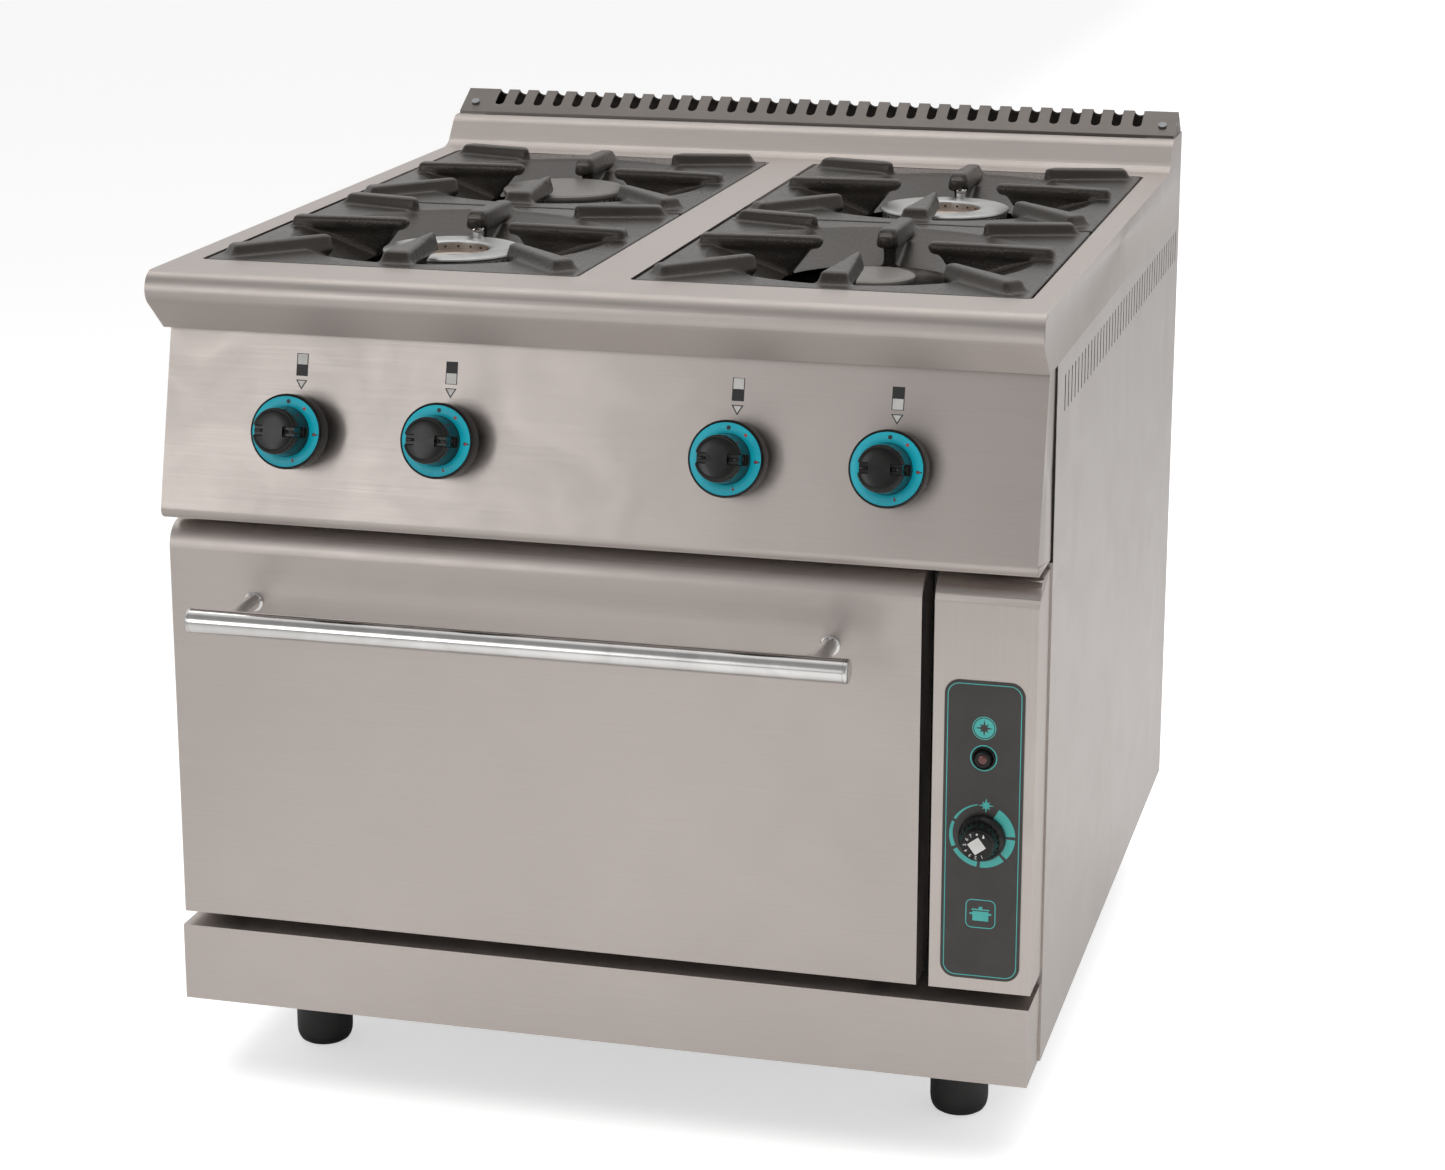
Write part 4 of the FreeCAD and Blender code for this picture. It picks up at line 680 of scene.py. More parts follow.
def handle():
    """A polished tube with pressed end caps, on two brackets that widen towards it."""
    low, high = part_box("handle_bar")
    length = (high.x - low.x) / MM
    radius = (high.z - low.z) / 2 / MM - 0.05
    half = [(radius - 2.2, 0.0), (radius - 0.7, 0.4), (radius, 1.3), (radius, 3.6),
            (radius - 0.35, 3.8), (radius - 0.35, 4.2), (radius, 4.4)]
    profile = half + [(r, length - h) for r, h in reversed(half)]
    bar = lathe("handle_tube", profile, 72)
    bar.rotation_euler = (0, math.pi / 2, 0)
    bar.location = (low.x, (low.y + high.y) / 2, (low.z + high.z) / 2)
    smooth(bar, 40)
    finish_piece(bar, "chrome", "door", "chrome", "handle_bar")

    post_low, post_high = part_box("handle_posts")
    door_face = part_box("door_skin")[0].y
    reach = (door_face - post_low.y) / MM
    steps = [(9.0, 9.0, 0.2), (9.0, 9.0, 1.6), (7.4, 7.4, 2.4), (7.2, 7.0, 14), (8.2, 7.0, 30),
             (11.0, 7.4, 44), (15.0, 8.2, 56), (17.5, 8.8, reach - 6), (17.5, 8.8, reach - 3)]
    bracket = lathe("handle_bracket_left", [(1.0, z) for _, _, z in steps], 48)
    for wide, tall, z in steps:
        stretch(bracket, lambda co: abs(co.z - z * MM) < 0.00001, (wide, tall, 1))
    bracket.rotation_euler = (math.pi / 2, 0, 0)
    bracket.location = (post_low.x + BRACKET_INSET * MM, door_face, (low.z + high.z) / 2)
    smooth(bracket, 40)
    other = twin(bracket, "handle_bracket_right")
    other.location.x = post_high.x - BRACKET_INSET * MM
    finish_piece(bracket, "chrome", "door", "chrome", "handle_posts")
    finish_piece(other, "chrome", "door", "chrome")


# ---------------------------------------------------------------- knobs

JOINTS = {joint["name"]: joint for joint in frame["joints"]}
RIGHT = Vector((1, 0, 0))


def facing(joint):
    """The place of a knob's centre on its panel: X right, Y up the panel, Z out of it."""
    out = Vector(JOINTS[joint]["axis"]).normalized()
    up = out.cross(RIGHT)
    place = Matrix((RIGHT, up, out)).transposed().to_4x4()
    place.translation = Vector(JOINTS[joint]["pos_m"])
    return place


def flame_mark(name, length, x, y, turn):
    """A pointed drop, the sign for a flame."""
    drop = patch(name, 20, length / 3, MARK)
    shift(drop, lambda co: co.y > length / 3.4 * MM, (0, length / 2 * MM, 0))
    return move(drop, x, y, 0, turn)


def burner_knob():
    """The parts of one burner knob about Z, as (piece, finish)."""
    body = lathe("knob_skirt", [
        (5.2, 12.2), (28.5, 12.2), (32.6, 12.9), (33.4, 14.2), (33.4, 29.4), (33.1, 30.8), (32.4, 31.6),
        (31.6, 31.8), (31.3, 31.3), (22.6, 31.3), (22.6, 30.0), (5.2, 30.0)], 96, "bridge")
    smooth(body, 30)
    face = lathe("knob_face", [(22.2, 31.1), (31.2, 31.1), (31.2, 31.45), (31.0, 31.55), (22.4, 31.55),
                               (22.2, 31.45)], 96, "bridge")
    smooth(face, 30)
    grip = lathe("knob_grip", [
        (22.1, 30.6), (22.1, 32.4), (21.7, 34.0), (21.1, 44.0), (20.6, 54.0), (20.3, 57.4), (19.7, 59.4),
        (18.4, 60.9), (16.2, 61.6), (10.0, 61.85), (0, 61.9)], 96)
    for side in (-1, 1):
        cut_away(grip, block("notch", (side * 21 - 2.6, -4.8, 36), (side * 21 + 2.6, 4.8, 64), 1.0, 3))
        cut_away(grip, block("pocket", (side * 15.5 - 6.5, -4.8, 57.6), (side * 15.5 + 6.5, 4.8, 66), 1.1, 3))
    dimple = lathe("dimple", [(2.0, 0), (2.6, 1.0), (2.6, 6)], 20)
    cut_away(grip, tip(dimple, math.pi / 2, (17.5, 0, 42.5)))
    soften(grip, 0.45, 40)
    even_shading(grip, 40)
    trims = [block("bar", (-18.2, -1.3, 57.2), (-10.6, 1.3, 59.0), 0.6, 3),
             block("bar", (13.6, -1.3, 57.2), (18.8, 1.3, 59.0), 0.6, 3)]
    bead = lathe("bead", [(1.8, 57.2), (1.8, 58.2), (1.4, 59.2), (0.8, 59.7), (0, 59.85)], 20)
    trims.append(move(bead, 11.2))
    trim = join("knob_trim", trims)
    smooth(trim, 40)
    high_flame, low_flame = math.radians(-93), math.radians(20)
    black = move(join("knob_marks", [
        move(patch("dot", 24, 1.9, MARK), 1.4, 26.8),
        flame_mark("drop", 4.4, 26.6, -1.2, high_flame),
        flame_mark("drop", 3.2, 8.4, -25.6, low_flame)]), z=31.5)
    red = move(join("knob_red_marks", [
        move(patch("dot", 24, 1.35, MARK), 16.6, 21.0),
        flame_mark("drop", 2.6, 26.8, -1.2, high_flame),
        flame_mark("drop", 1.9, 8.4, -25.5, low_flame)]), z=31.56)
    return [(body, "knob_black"), (face, "dial_teal"), (grip, "knob_black"), (trim, "knob_black"),
            (black, "print_black"), (red, "print_red")]


def burner_knobs():
    parts = burner_knob()
    for number in KNOBS:
        place = facing("tap_turn_%d" % number)
        for master, finish in parts:
            piece = twin(master, "%s_%d" % (master.name, number))
            piece.matrix_world = place
            nodes = ["burner_knob_%d" % number] if master.name.startswith("knob_skirt") else []
            finish_piece(piece, finish, "knob_%d" % number, "knob_teal", *nodes)
    for master, finish in parts:
        bpy.data.objects.remove(master)


def burner_signs():
    """Printed above each knob: which of the two burners it feeds, and where its mark points."""
    squared = math.sqrt(0.5)
    outline = patch("outline", 4, 10.0 * squared, 0.12, (1.08, 2.0), math.pi / 4)
    arrow = patch("arrow", 3, 6.2, 0.12, (1.0, 0.95), math.pi)
    black = join("black", [move(outline, y=60), move(arrow, y=43.6)])
    whites = []
    for height in (55.1, 64.9):
        half = patch("half", 4, 9.2 * squared, PRINT, (1.0, 1.0), math.pi / 4)
        inside = patch("inside", 3, 4.3, PRINT, (1.0, 0.95), math.pi)
        whites.append(join("white", [move(half, y=height, z=PRINT), move(inside, y=43.7, z=PRINT)]))
    for number in KNOBS:
        for master, colour in ((black, "black"), (whites[number % 2], "white")):
            sign = twin(master, "sign_%s_%d" % (colour, number))
            sign.matrix_world = facing("tap_turn_%d" % number)
            finish_piece(sign, "print_" + colour, "cabinet", "overlay")
    for master in [black] + whites:
        bpy.data.objects.remove(master)


# ---------------------------------------------------------------- oven controls

SPARK_RISE = 36  # the spark sign over the foot of the button
BADGE_RISE = 61  # the badge over the foot of the film


def overlay():
    """The printed film on the control column: a border line and the signs for spark and heat."""
    sheet = copy_of("column_overlay", "column_film")
    even_shading(sheet)
    finish_piece(sheet, "overlay_film", "cabinet", "overlay", "column_overlay")
    low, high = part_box("column_overlay")
    knob = facing("oven_tap_turn")
    middle_x = knob.translation.x
    face_y = low.y

    def on_film(piece, height, finish):
        """Stands a flat piece on the film with its centre at a height above the floor."""
        piece.rotation_euler = (math.pi / 2, 0, 0)
        piece.location = (middle_x, face_y, height)
        finish_piece(piece, finish, "cabinet", "overlay")

    wide = (high.x - low.x) / MM - 5.2
    tall = (high.z - low.z) / MM - 5.2
    border = rounded_line("film_border", wide, tall, 10.5, 0.7)
    on_film(border, (low.z + high.z) / 2, "print_teal")

    spark_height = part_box("igniter_button")[0].z + SPARK_RISE * MM
    disc = patch("spark_disc", 48, 8.8, PRINT)
    rim = lathe("spark_rim", [(9.7, 0), (10.4, 0), (10.4, PRINT), (9.7, PRINT)], 48, "bridge")
    on_film(join("spark_disc", [disc, rim]), spark_height, "print_teal")
    on_film(move(spark("spark_sign", 7.6), z=PRINT), spark_height, "overlay_film")
    ring = lathe("button_ring", [(10.7, 0), (11.8, 0), (11.8, PRINT), (10.7, PRINT)], 64, "bridge")
    button_low, button_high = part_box("igniter_button")
    on_film(ring, (button_low.z + button_high.z) / 2, "print_teal")
    on_film(heat_scale(), knob.translation.z, "print_teal")
    on_film(move(spark("pilot_sign", 6.8), y=28.0, x=3.0), knob.translation.z, "print_teal")
    badge_height = low.z + BADGE_RISE * MM
    on_film(rounded_line("badge_line", 26.5, 26.5, 5.5, 0.8), badge_height, "print_teal")
    on_film(pan_sign(), badge_height, "print_teal")


def rounded_line(name, wide, tall, corner, width):
    """A printed line round a rectangle with rounded corners."""
    line = start(name, bpy.ops.mesh.primitive_plane_add, size=1)
    edit(line)
    bpy.ops.transform.resize(value=(wide * MM, tall * MM, 1), center_override=(0, 0, 0))
    bpy.ops.mesh.bevel(offset=corner * MM, segments=10, affect="VERTICES")
    bpy.ops.mesh.select_mode(type="FACE")
    bpy.ops.mesh.select_all(action="SELECT")
    bpy.ops.mesh.inset(thickness=width * MM, depth=0)
    bpy.ops.mesh.delete(type="FACE")
    bpy.ops.mesh.select_all(action="SELECT")
    extrude_up(PRINT)
    leave_edit()
    outward(line)
    return line


def spark(name, radius):
    """An eight-pointed star."""
    star = start(name, bpy.ops.mesh.primitive_circle_add, vertices=16, radius=radius * MM, fill_type="NGON")
    stretch(star, lambda co: round(math.degrees(math.atan2(co.y, co.x)) / 22.5) % 2, (0.36, 0.36, 1))
    stretch(star, lambda co: abs(co.x) > 0.5 * radius * MM and abs(co.y) > 0.5 * radius * MM, (0.72, 0.72, 1))
    raise_patch(star, PRINT)
    return star


def heat_scale():
    """The printed band round the oven knob, which thins out clockwise, with gaps at its marks."""
    band = start("heat_scale", bpy.ops.mesh.primitive_circle_add, vertices=120, radius=29 * MM)
    edit(band)
    extrude_up(0)
    bpy.ops.transform.resize(value=(0.67, 0.67, 1), center_override=(0, 0, 0))
    leave_edit()

    def clock(co):
        """Degrees clockwise from the top."""
        return math.degrees(math.atan2(co.x, co.y)) % 360

    for corner in band.data.vertices:
        if corner.co.length < 0.025:
            share = max(0.0, (clock(corner.co) - 30) / 322)
            corner.co *= 1 + share * 0.45
    gaps = (90, 135, 186, 243, 297)
    pick_faces(band, lambda co, normal: not 29 < clock(co) < 352
               or any(abs(clock(co) - gap) < 1.6 for gap in gaps))
    bpy.ops.mesh.delete(type="FACE")
    bpy.ops.mesh.select_all(action="SELECT")
    extrude_up(PRINT)
    leave_edit()
    outward(band)
    return band


def pan_sign():
    """A plain cooking pot with two handles and a lid."""
    parts = []
    for name, low, high in (("pot", (-7, -6.5), (7, 2.2)), ("lid", (-7.8, 3.2), (7.8, 4.4)),
                            ("top", (-1.6, 4.4), (1.6, 6.6)), ("left", (-9.6, -0.8), (-7, 0.8))):
        parts.append(block(name, (*low, 0), (*high, PRINT), 0.03, 1))
    parts.append(move(twin(parts[-1], "right"), turn=math.pi))
    return join("pan_sign", parts)


def oven_knob():
    """The thermostat knob: a waisted black body with its numbers round a pale cap."""
    body = lathe("oven_knob_body", [
        (5.3, 1.7), (19.6, 1.7), (20.4, 2.4), (20.4, 5.6), (19.8, 7.0), (18.2, 8.4), (16.9, 10.6),
        (15.9, 14.0), (15.0, 20.0), (14.4, 24.0), (13.8, 25.4), (12.9, 26.2), (11.8, 26.4), (0, 26.4)], 72)
    flute = move(lathe("flute", [(1.1, 10), (1.1, 24.5)], 12), 16.6)
    cut_away(body, round_the_axis("flutes", flute, 20))
    smooth(body)
    cap = patch("oven_knob_cap", 4, 8.2, 0.5, (1, 1), math.radians(8))
    soften(cap, 0.9, 30, 3)
    smooth(cap, 40)
    move(cap, z=26.3)
    marks = []
    for value, angle in zip("1234567", (153, 183, 213, 243, 273, 303, 330)):
        marks.append(numeral(value, 4.2, 10.3, angle))
    marks.append(move(patch("zero", 20, 0.9, PRINT), 0, 10.6, 26.4))
    flame = flame_mark("pilot", 2.8, 0, 0, 0)
    move(flame, 10.6 * math.sin(math.radians(33)), 10.0 * math.cos(math.radians(33)), 26.4)
    marks.append(flame)
    index = patch("index", 16, 1.3, 0.3)
    move(index, 9.5, 16.0, 5.2)
    marks.append(index)
    figures = join("oven_knob_figures", marks)
    place = facing("oven_tap_turn")
    for piece, finish, nodes in ((body, "knob_black", ["oven_knob"]), (cap, "print_white", []),
                                 (figures, "print_white", [])):
        piece.matrix_world = place
        finish_piece(piece, finish, "oven_dial", "knob_black", *nodes)


def numeral(text, size, radius, degrees):
    """A raised number with its foot towards the middle, clockwise degrees from the top."""
    deselect()
    bpy.ops.object.text_add(location=(0, 0, 0))
    letter = bpy.context.active_object
    letter.data.body = text
    letter.data.size = size * MM
    letter.data.align_x = "CENTER"
    letter.data.align_y = "CENTER"
    letter.data.extrude = 0.05 * MM
    bpy.ops.object.convert(target="MESH")
    letter = bpy.context.active_object
    turn = math.radians(-degrees)
    x = radius * math.sin(math.radians(degrees))
    y = radius * math.cos(math.radians(degrees))
    return move(letter, x, y, 26.45, turn)


def igniter():
    """The spark button: a collar, a black plunger and its coloured centre."""
    low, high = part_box("igniter_button")
    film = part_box("column_overlay")[0].y
    place = ((low.x + high.x) / 2, film, (low.z + high.z) / 2)
    collar = lathe("igniter_collar", [
        (8.2, -30), (10.4, -30), (10.4, 1.2), (10.0, 2.0), (9.2, 2.4), (8.4, 2.0), (8.2, 1.0)], 56, "bridge")
    plunger = lathe("igniter_plunger", [
        (7.9, -27), (7.9, 1.8), (7.4, 4.6), (6.6, 6.0), (5.4, 6.4), (4.4, 6.1), (4.1, 5.4), (0, 5.4)], 56)
    lens = lathe("igniter_centre", [(4.0, 5.2), (4.0, 5.7), (3.2, 6.1), (1.8, 6.3), (0, 6.4)], 40)
    for piece, finish, body, nodes in (
            (collar, "knob_black", "cabinet", ["igniter_housing"]),
            (plunger, "knob_black", "button", ["igniter_button"]),
            (lens, "lens_red", "button", [])):
        smooth(piece, 40)
        piece.rotation_euler = (math.pi / 2, 0, 0)
        piece.location = place
        finish_piece(piece, finish, body, "knob_black", *nodes)


# ---------------------------------------------------------------- burners

def ring_burner(name, place):
    """A flat machined ring with slotted rim, a drilled inner cup and a pilot lug behind; the slots and the
    drilled holes are black pieces of painted shade.
    """
    low, high = place
    top = high.z / MM
    ring = lathe(name, [
        (35.8, top - 11.5), (61.5, top - 11.5), (62.4, top - 10.6), (62.4, top - 4.2), (63.4, top - 3.6),
        (64.6, top - 3.2), (64.9, top - 2.2), (64.4, top - 0.9), (63.0, top - 0.3), (58.0, top), (41.0, top),
        (37.6, top - 0.3), (36.2, top - 1.2), (35.8, top - 2.6)], 144, "bridge")
    smooth(ring, 32)
    # Painted shade: a black block just proud of the rim wall stands for each slot, where its opening would
    # lie in shadow.
    slot = block("slot", (60.5, -0.9, top - 9.6), (62.7, 0.9, top - 5.6), 0.2, 1)
    slots = round_the_axis(name + "_slots", slot, 48)
    cup = lathe(name + "_cup", [
        (35.4, top - 2.4), (35.2, top - 8.6), (33.0, top - 9.6), (28.0, top - 9.9), (26.5, top - 11.4),
        (27.0, top - 11.6), (35.9, top - 11.2), (35.9, top - 2.4)], 96, "bridge")
    smooth(cup)
    # Painted shade: a black disc on the inner face of the cup stands for each drilled hole.
    hole = lathe("port", [(1.15, 0), (1.15, 0.7)], 12)
    tip(hole, -math.pi / 2, (35.6, 0, top - 5.4))
    ports = round_the_axis(name + "_ports", hole, 18)
    lug = block(name + "_lug", (1.5, 53.5, top - 0.6), (10.5, 62.5, top + 8.4), 1.0, 2)
    pick_faces(lug, lambda co, normal: normal.z > 0.9)
    bpy.ops.transform.resize(value=(0.72, 0.55, 1))
    bpy.ops.transform.translate(value=(0, 1.6 * MM, 0))
    leave_edit()
    smooth(lug, 30)
    for piece, finish, nodes in ((ring, "cast_aluminium", [name]), (slots, "print_black", []),
                                 (cup, "cup_metal", []), (ports, "print_black", []),
                                 (lug, "chrome", [])):
        piece.location = middle(low, high)
        finish_piece(piece, finish, "cabinet", "aluminium", *nodes)


def cap_burner(name, place):
    """A plain enamelled lid with a rolled edge over a slotted crown, whose slots are black pieces of painted
    shade.
    """
    low, high = place
    radius = (high.x - low.x) / 2 / MM
    top = high.z / MM
    cap = lathe(name + "_lid", [
        (radius * 0.55, top - 8.4), (radius - 4.6, top - 8.2), (radius - 1.4, top - 7.2),
        (radius - 0.3, top - 5.4), (radius - 0.1, top - 3.6), (radius - 0.6, top - 1.8),
        (radius - 2.2, top - 0.7), (radius - 6.0, top - 0.25), (radius * 0.5, top - 0.05), (0, top)], 128)
    smooth(cap)
    crown = lathe(name + "_crown", [
        (radius * 0.5, top - 11.9), (radius - 5.4, top - 11.9), (radius - 5.4, top - 7.4),
        (radius * 0.5, top - 7.4)], 96, "bridge")
    smooth(crown)
    count = 40 if radius > 50 else 26
    # Painted shade: a black block just proud of the crown wall stands for each slot.
    slot = block("slot", (radius - 6.4, -0.9, top - 11.4), (radius - 5.1, 0.9, top - 8.6), 0.2, 1)
    slots = round_the_axis(name + "_slots", slot, count)
    for piece, finish, slot, nodes in ((cap, "cap_enamel", "cap_enamel", [name]),
                                       (crown, "cast_aluminium", "aluminium", []),
                                       (slots, "print_black", "aluminium", [])):
        piece.location = middle(low, high)
        finish_piece(piece, finish, "cabinet", slot, *nodes)


def burners():
    for name in ("burner_ring_front_left", "burner_ring_rear_right"):
        ring_burner(name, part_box(name))
    for name in ("burner_cap_rear_left", "burner_cap_front_right"):
        cap_burner(name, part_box(name))


# ---------------------------------------------------------------- grates

def grate_master():
    """One pan support about its own middle, plate top at height 0."""
    low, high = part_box("grate_front_left")
    half_x = (high.x - low.x) / 2 / MM - 0.3
    half_y = (high.y - low.y) / 2 / MM - 0.3
    plate = block("plate", (-half_x, -half_y, -4.4), (half_x, half_y, 0))
    mouth = lathe("mouth", [(150, -10), (150, 10)], 128)
    cut_away(plate, mouth)
    dish = lathe("dish", [
        (153.0, 0.0), (150.0, -0.8), (146.0, -2.6), (84.0, -24.2), (80.6, -25.6), (80.0, -26.0),
        (83.0, -26.0), (86.0, -26.0), (92.0, -25.6), (152.0, -4.4), (156.0, -4.4), (156.0, 0.0)],
        128, "bridge")
    pieces = [plate, dish]
    for mirror in (1, -1):
        pieces += [
            tapered("side", mirror, (half_x - 4, 19, 10.5, 8.5), (49, 19, 11.9, 5.2), 12.0, 7.0, 2.0),
            web(mirror),
            tapered("front_corner", mirror, (half_x - 12, 18 - half_y, 10.5, 10.5), (88, -84, 11.9, 6.0),
                    14.5, 9.5, -4.0),
            tapered("rear_corner", mirror, (half_x - 8, half_y - 13, 10.5, 9.0),
                    (84, half_y - 40, 11.9, 7.5), 13.0, 10.0, -4.0),
            post(mirror * 84, half_y - 43)]
    pieces += [
        tapered("front_finger", 1, (0, 13 - half_y, 11.2, 13.0), (0, -49, 12.3, 2.4), 15.5, 5.5, -4.0),
        centre_web(-1, 10),
        tapered("rear_finger", 1, (0, half_y - 8, 9.6, 8.2), (0, 68, 12.2, 9.0), 13.0, 11.0, -5.0),
        centre_web(1, 12)]
    whole = join("grate_master", pieces)
    fuse = whole.modifiers.new("fuse", "REMESH")
    fuse.mode = "VOXEL"
    fuse.voxel_size = 0.0017
    soft = whole.modifiers.new("soft", "SMOOTH")
    soft.factor = 0.5
    soft.iterations = 10
    thin = whole.modifiers.new("thin", "DECIMATE")
    thin.ratio = 0.22
    apply_all(whole)
    smooth(whole, 60)
    return whole


def tapered(name, side, start, end, foot_start, foot_end, floor):
    """A cast rib between two places given as x, y, top height and half width of its crest.

    The foot is wider than the crest, and both ends are sloped and rounded.
    """
    (x_1, y_1, top_1, crest_1), (x_2, y_2, top_2, crest_2) = start, end
    x_1, x_2 = side * x_1, side * x_2
    length = math.hypot(x_2 - x_1, y_2 - y_1)
    rounding = min(4.6, foot_start * 0.45)
    bar = block(name, (0, -foot_start, floor - 2), (length, foot_start, top_1), rounding, 4)
    top_1, top_2 = top_1 * MM, top_2 * MM

    def shape(wanted, across, lift=0.0, along=0.0):
        pick_vertices(bar, wanted)
        bpy.ops.transform.resize(value=(1, across, 1), center_override=(0, 0, 0))
        bpy.ops.transform.translate(value=(along, 0, lift))
        leave_edit()

    far = length * MM / 2
    shape(lambda co: co.x > far, foot_end / foot_start)
    shape(lambda co: co.x > far and co.z > 0.001, crest_2 / foot_end, top_2 - top_1)
    shape(lambda co: co.x < far and co.z > 0.001, crest_1 / foot_start, 0, 0.006)
    edit(bar)
    bpy.ops.mesh.subdivide(number_cuts=3)
    leave_edit()
    return move(bar, x_1, y_1, 0, math.atan2(y_2 - y_1, x_2 - x_1))


def web(side):
    """The deep web under a side rib, which follows the dish down to the throat."""
    fin = block("web", (52, 12.5, 2), (152, 25.5, 9))
    shift(fin, lambda co: co.z < 0.005 and co.x > 0.1, (0, 0, -0.004))
    foot = block("web_foot", (78, 13.5, -24), (150, 24.5, 4))
    shift(foot, lambda co: co.z < -0.01 and co.x > 0.1, (0, 0, 0.021))
    shift(foot, lambda co: co.z > 0 and co.x < 0.1, (-0.022, 0, 0))
    whole = join("web", [fin, foot])
    if side < 0:
        whole.scale.x = -1
        settle(whole)
        outward(whole)
    return whole


def centre_web(side, width):
    """The web under a centre rib, down the slope of the dish."""
    fin = block("centre_web", (-width / 2, 58, -4), (width / 2, 150, 7))
    foot = block("centre_foot", (-width / 2, 80, -23), (width / 2, 150, -2))
    shift(foot, lambda co: co.z < -0.01 and co.y > 0.1, (0, 0, 0.020))
    whole = join("centre_web", [fin, foot])
    return whole if side > 0 else move(whole, turn=math.pi)


def post(x, y):
    """The small upright nub at the inner end of a rear corner rib."""
    return move(lathe("post", [(4.6, -3), (4.2, 8), (3.4, 11.8)], 20), x, y)


RIB_RISE = 12  # how far the ribs stand over the plate


def grates():
    master = grate_master()
    for corner in CORNERS:
        node = "grate_" + corner
        low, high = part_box(node)
        piece = twin(master, node + "_casting")
        piece.location = middle(low, high, high.z - RIB_RISE * MM)
        finish_piece(piece, "grate_enamel", node, "cast_iron", node)
    bpy.data.objects.remove(master)


# ---------------------------------------------------------------- feet

def feet():
    """Black moulded sleeves and screw feet with rounded soles."""
    for corner in CORNERS:
        node = "foot_" + corner
        foot = lathe(node + "_moulding", [
            (17.0, 0.0), (20.5, 0.5), (23.4, 2.4), (25.4, 5.6), (26.5, 9.6), (26.9, 14.0), (26.9, 76.0),
            (26.0, 77.0), (8.0, 77.0), (8.0, 156.0), (7.2, 156.9)], 64)
        sleeve = lathe(node + "_sleeve", [
            (27.4, 42.2), (28.6, 42.0), (29.6, 42.8), (29.95, 44.4), (29.95, 86.9), (27.4, 86.9)],
            64, "bridge")
        nodes = ["foot_sleeves"] if corner == "front_left" else []
        for piece, body, stands_for in ((foot, node, [node]), (sleeve, "cabinet", nodes)):
            smooth(piece)
            piece.location = middle(*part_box(node))
            finish_piece(piece, "foot_plastic", body, "foot_plastic", *stands_for)


# ---------------------------------------------------------------- studio

# How bright the room is, as pairs of (sine of the height or of the turn to the right, brightness).
SKY_FRONT = [(-1.0, 0.71), (0.0, 0.71), (0.12, 0.69), (0.30, 0.68), (0.42, 0.30), (0.86, 0.27),
             (0.97, 0.7), (1.0, 0.9)]
SKY_BACK = [(-1.0, 0.55), (0.0, 0.45), (0.14, 0.46), (0.20, 0.66), (0.32, 0.65), (0.6, 0.85),
            (0.85, 0.8), (1.0, 0.9)]
SKY_ACROSS = [(-1.0, 1.0), (-0.62, 1.25), (-0.46, 2.2), (-0.36, 4.4), (-0.27, 1.3), (-0.15, 0.54),
              (0.25, 0.51), (0.8, 1.0)]
LAMP_COLOUR = (1.0, 0.99, 0.975)
# Name, place, what it points at, width, depth, watts, and whether the steel mirrors it.
LAMPS = [("overhead", (0.2, -0.9, 3.2), (0, 0, 0.4), 3.6, 3.0, 74, False),
         ("strip", (-0.3, 0.75, 3.0), (0, 0, 0.8), 3.0, 0.4, 8, True)]
ROOM_STRENGTH = 1.2
FLOOR_LIFT = 0.55
CAMERA_PLACE = (0.81699, -3.03724, 1.30122)
CAMERA_DIP = 0.255
CAMERA_TURN = 0.258
SENSOR_WIDTH = 36
FOCAL_LENGTH = 81.53
FRAMING_SHIFT = -0.05


def ramp(tree, value, stops, low=-1.0, high=1.0):
    """A grey level from a list of (value, brightness) stops."""
    share = span(tree, value, 0, 1, low, high)
    node = put(tree, "ValToRGB", {"Fac": share})
    line = node.color_ramp
    while len(line.elements) < len(stops):
        line.elements.new(0.5)
    for element, (at, level) in zip(line.elements, stops):
        element.position = (at - low) / (high - low)
        element.color = (level, level, level, 1)
    return node.outputs["Color"]


def sky():
    """The room round the studio floor, as a brightness for each direction."""
    world = bpy.data.worlds.new("studio_world")
    world.use_nodes = True
    tree = world.node_tree
    direction = put(tree, "TexCoord").outputs["Generated"]
    axes = put(tree, "SeparateXYZ", {"Vector": direction}).outputs
    front = ramp(tree, axes["Z"], SKY_FRONT)
    back = ramp(tree, axes["Z"], SKY_BACK)
    across = ramp(tree, axes["X"], SKY_ACROSS)
    low_part = span(tree, axes["Z"], 1, 0, 0.34, 0.52)
    lit_across = blend_colour(tree, low_part, (1, 1, 1), across)
    front_lit = put(tree, "VectorMath", {0: front, 1: lit_across}, operation="MULTIPLY")
    behind = span(tree, axes["Y"], 0, 1, -0.3, 0.2)
    whole = blend_colour(tree, behind, front_lit.outputs[0], back)
    background = tree.nodes["Background"]
    tree.links.new(whole, background.inputs["Color"])
    background.inputs["Strength"].default_value = ROOM_STRENGTH
    bpy.context.scene.world = world


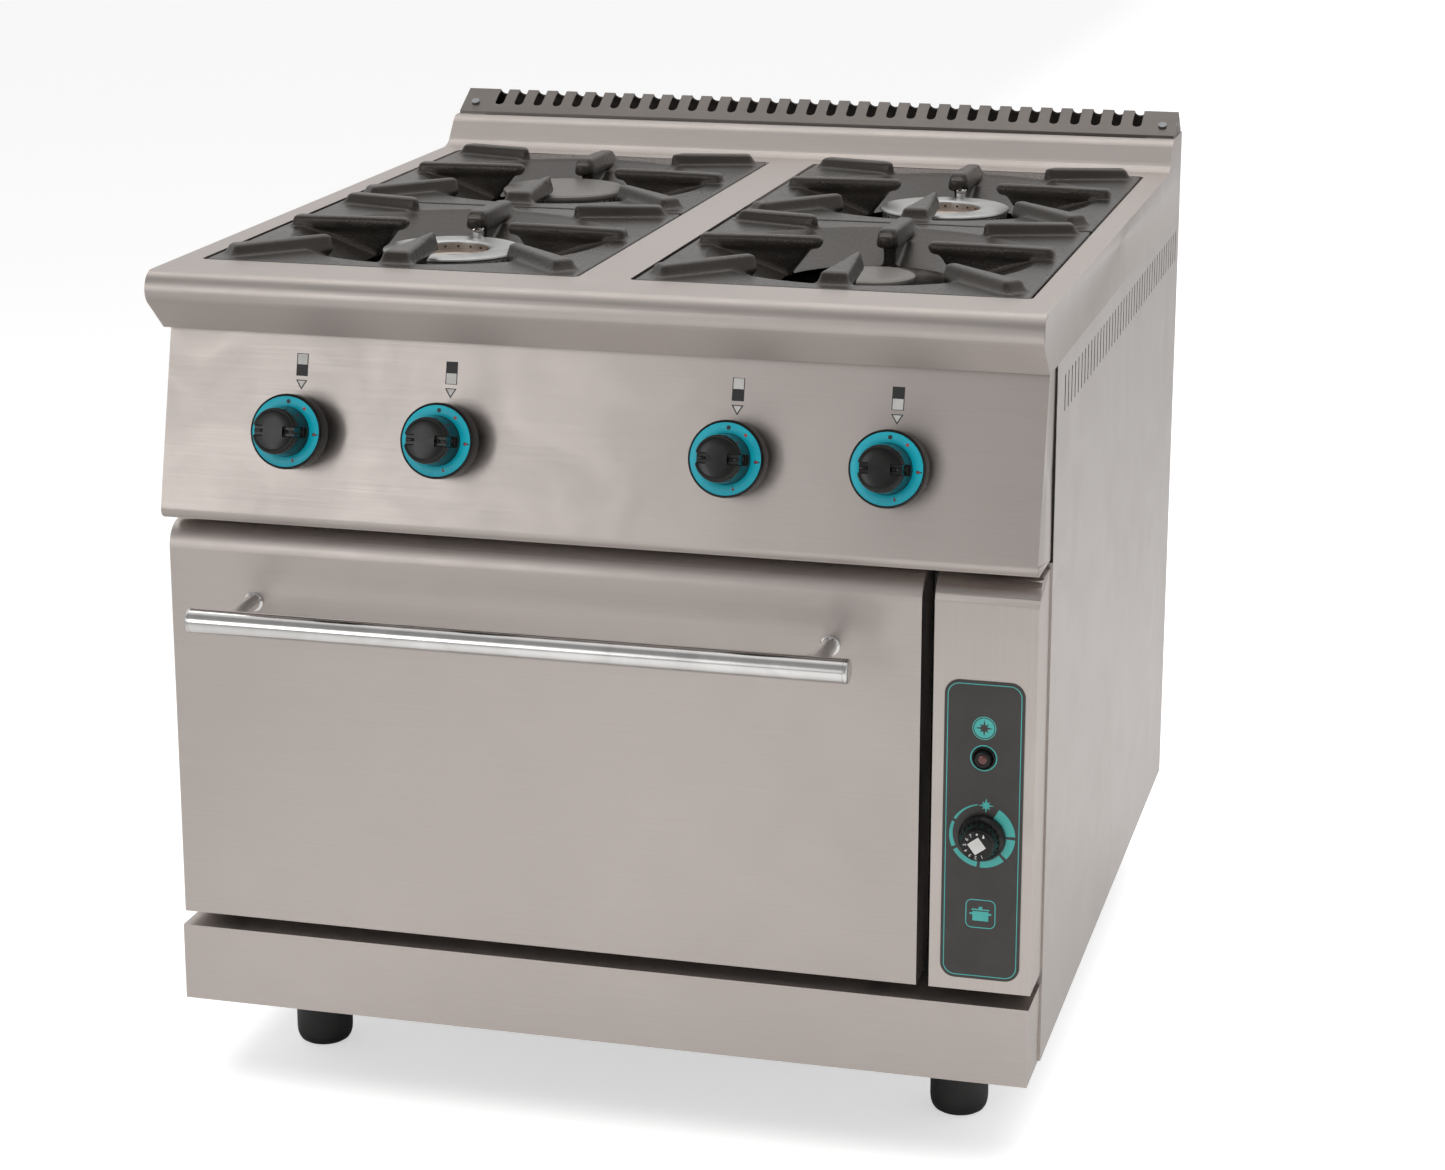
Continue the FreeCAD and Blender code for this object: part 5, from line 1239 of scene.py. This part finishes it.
def floor_finish():
    """Pale, with painted shade that darkens it towards the left for the steel to mirror, and lifted to white
    only for the camera.
    """
    material = bpy.data.materials.new("studio_floor")
    material.use_nodes = True
    tree = material.node_tree
    shader = tree.nodes["Principled BSDF"]
    place = put(tree, "TexCoord").outputs["Object"]
    # Painted shade: the floor darkens towards the left, so the left of the door mirrors a darker floor.
    rightward = span(tree, component(tree, place, "X"), 0, 1, -1.0, -0.3)
    shade = blend_colour(tree, rightward, (0.50, 0.50, 0.50), (0.86, 0.86, 0.86))
    seen = put(tree, "LightPath").outputs["Is Camera Ray"]
    tree.links.new(shade, shader.inputs["Base Color"])
    tree.links.new(arithmetic(tree, "MULTIPLY", seen, FLOOR_LIFT), shader.inputs["Emission Strength"])
    for name, value in (("Roughness", 0.9), ("Specular IOR Level", 0.1), ("Emission Color", (1, 1, 1, 1))):
        shader.inputs[name].default_value = value
    return material


def studio():
    """Pale floor under a pale room, a soft light overhead and a narrow one behind it."""
    floor = start("studio_floor", bpy.ops.mesh.primitive_plane_add, size=60)
    floor.data.materials.append(floor_finish())
    sky()
    for name, place, aim, width, depth, power, mirrored in LAMPS:
        lamp = bpy.data.lights.new(name, "AREA")
        lamp.shape = "RECTANGLE"
        lamp.size = width
        lamp.size_y = depth
        lamp.energy = power
        lamp.color = LAMP_COLOUR
        holder = new_object(name, lamp)
        holder.location = place
        holder.visible_glossy = mirrored
        holder.rotation_mode = "QUATERNION"
        holder.rotation_quaternion = (Vector(aim) - Vector(place)).to_track_quat("-Z", "Y")
    bpy.context.scene.view_settings.view_transform = "Standard"


def camera():
    lens = bpy.data.cameras.new("studio_camera")
    lens.sensor_fit = "HORIZONTAL"
    lens.sensor_width = SENSOR_WIDTH
    lens.lens = FOCAL_LENGTH
    lens.shift_y = FRAMING_SHIFT
    lens.clip_end = 100
    holder = new_object("studio_camera", lens)
    holder.location = CAMERA_PLACE
    holder.rotation_euler = (math.pi / 2 - CAMERA_DIP, 0, CAMERA_TURN)
    bpy.context.scene.camera = holder


keep_nodes()
sheets()
smooth_nodes()
handle()
burner_knobs()
burner_signs()
overlay()
oven_knob()
igniter()
burners()
grates()
feet()
studio()
camera()
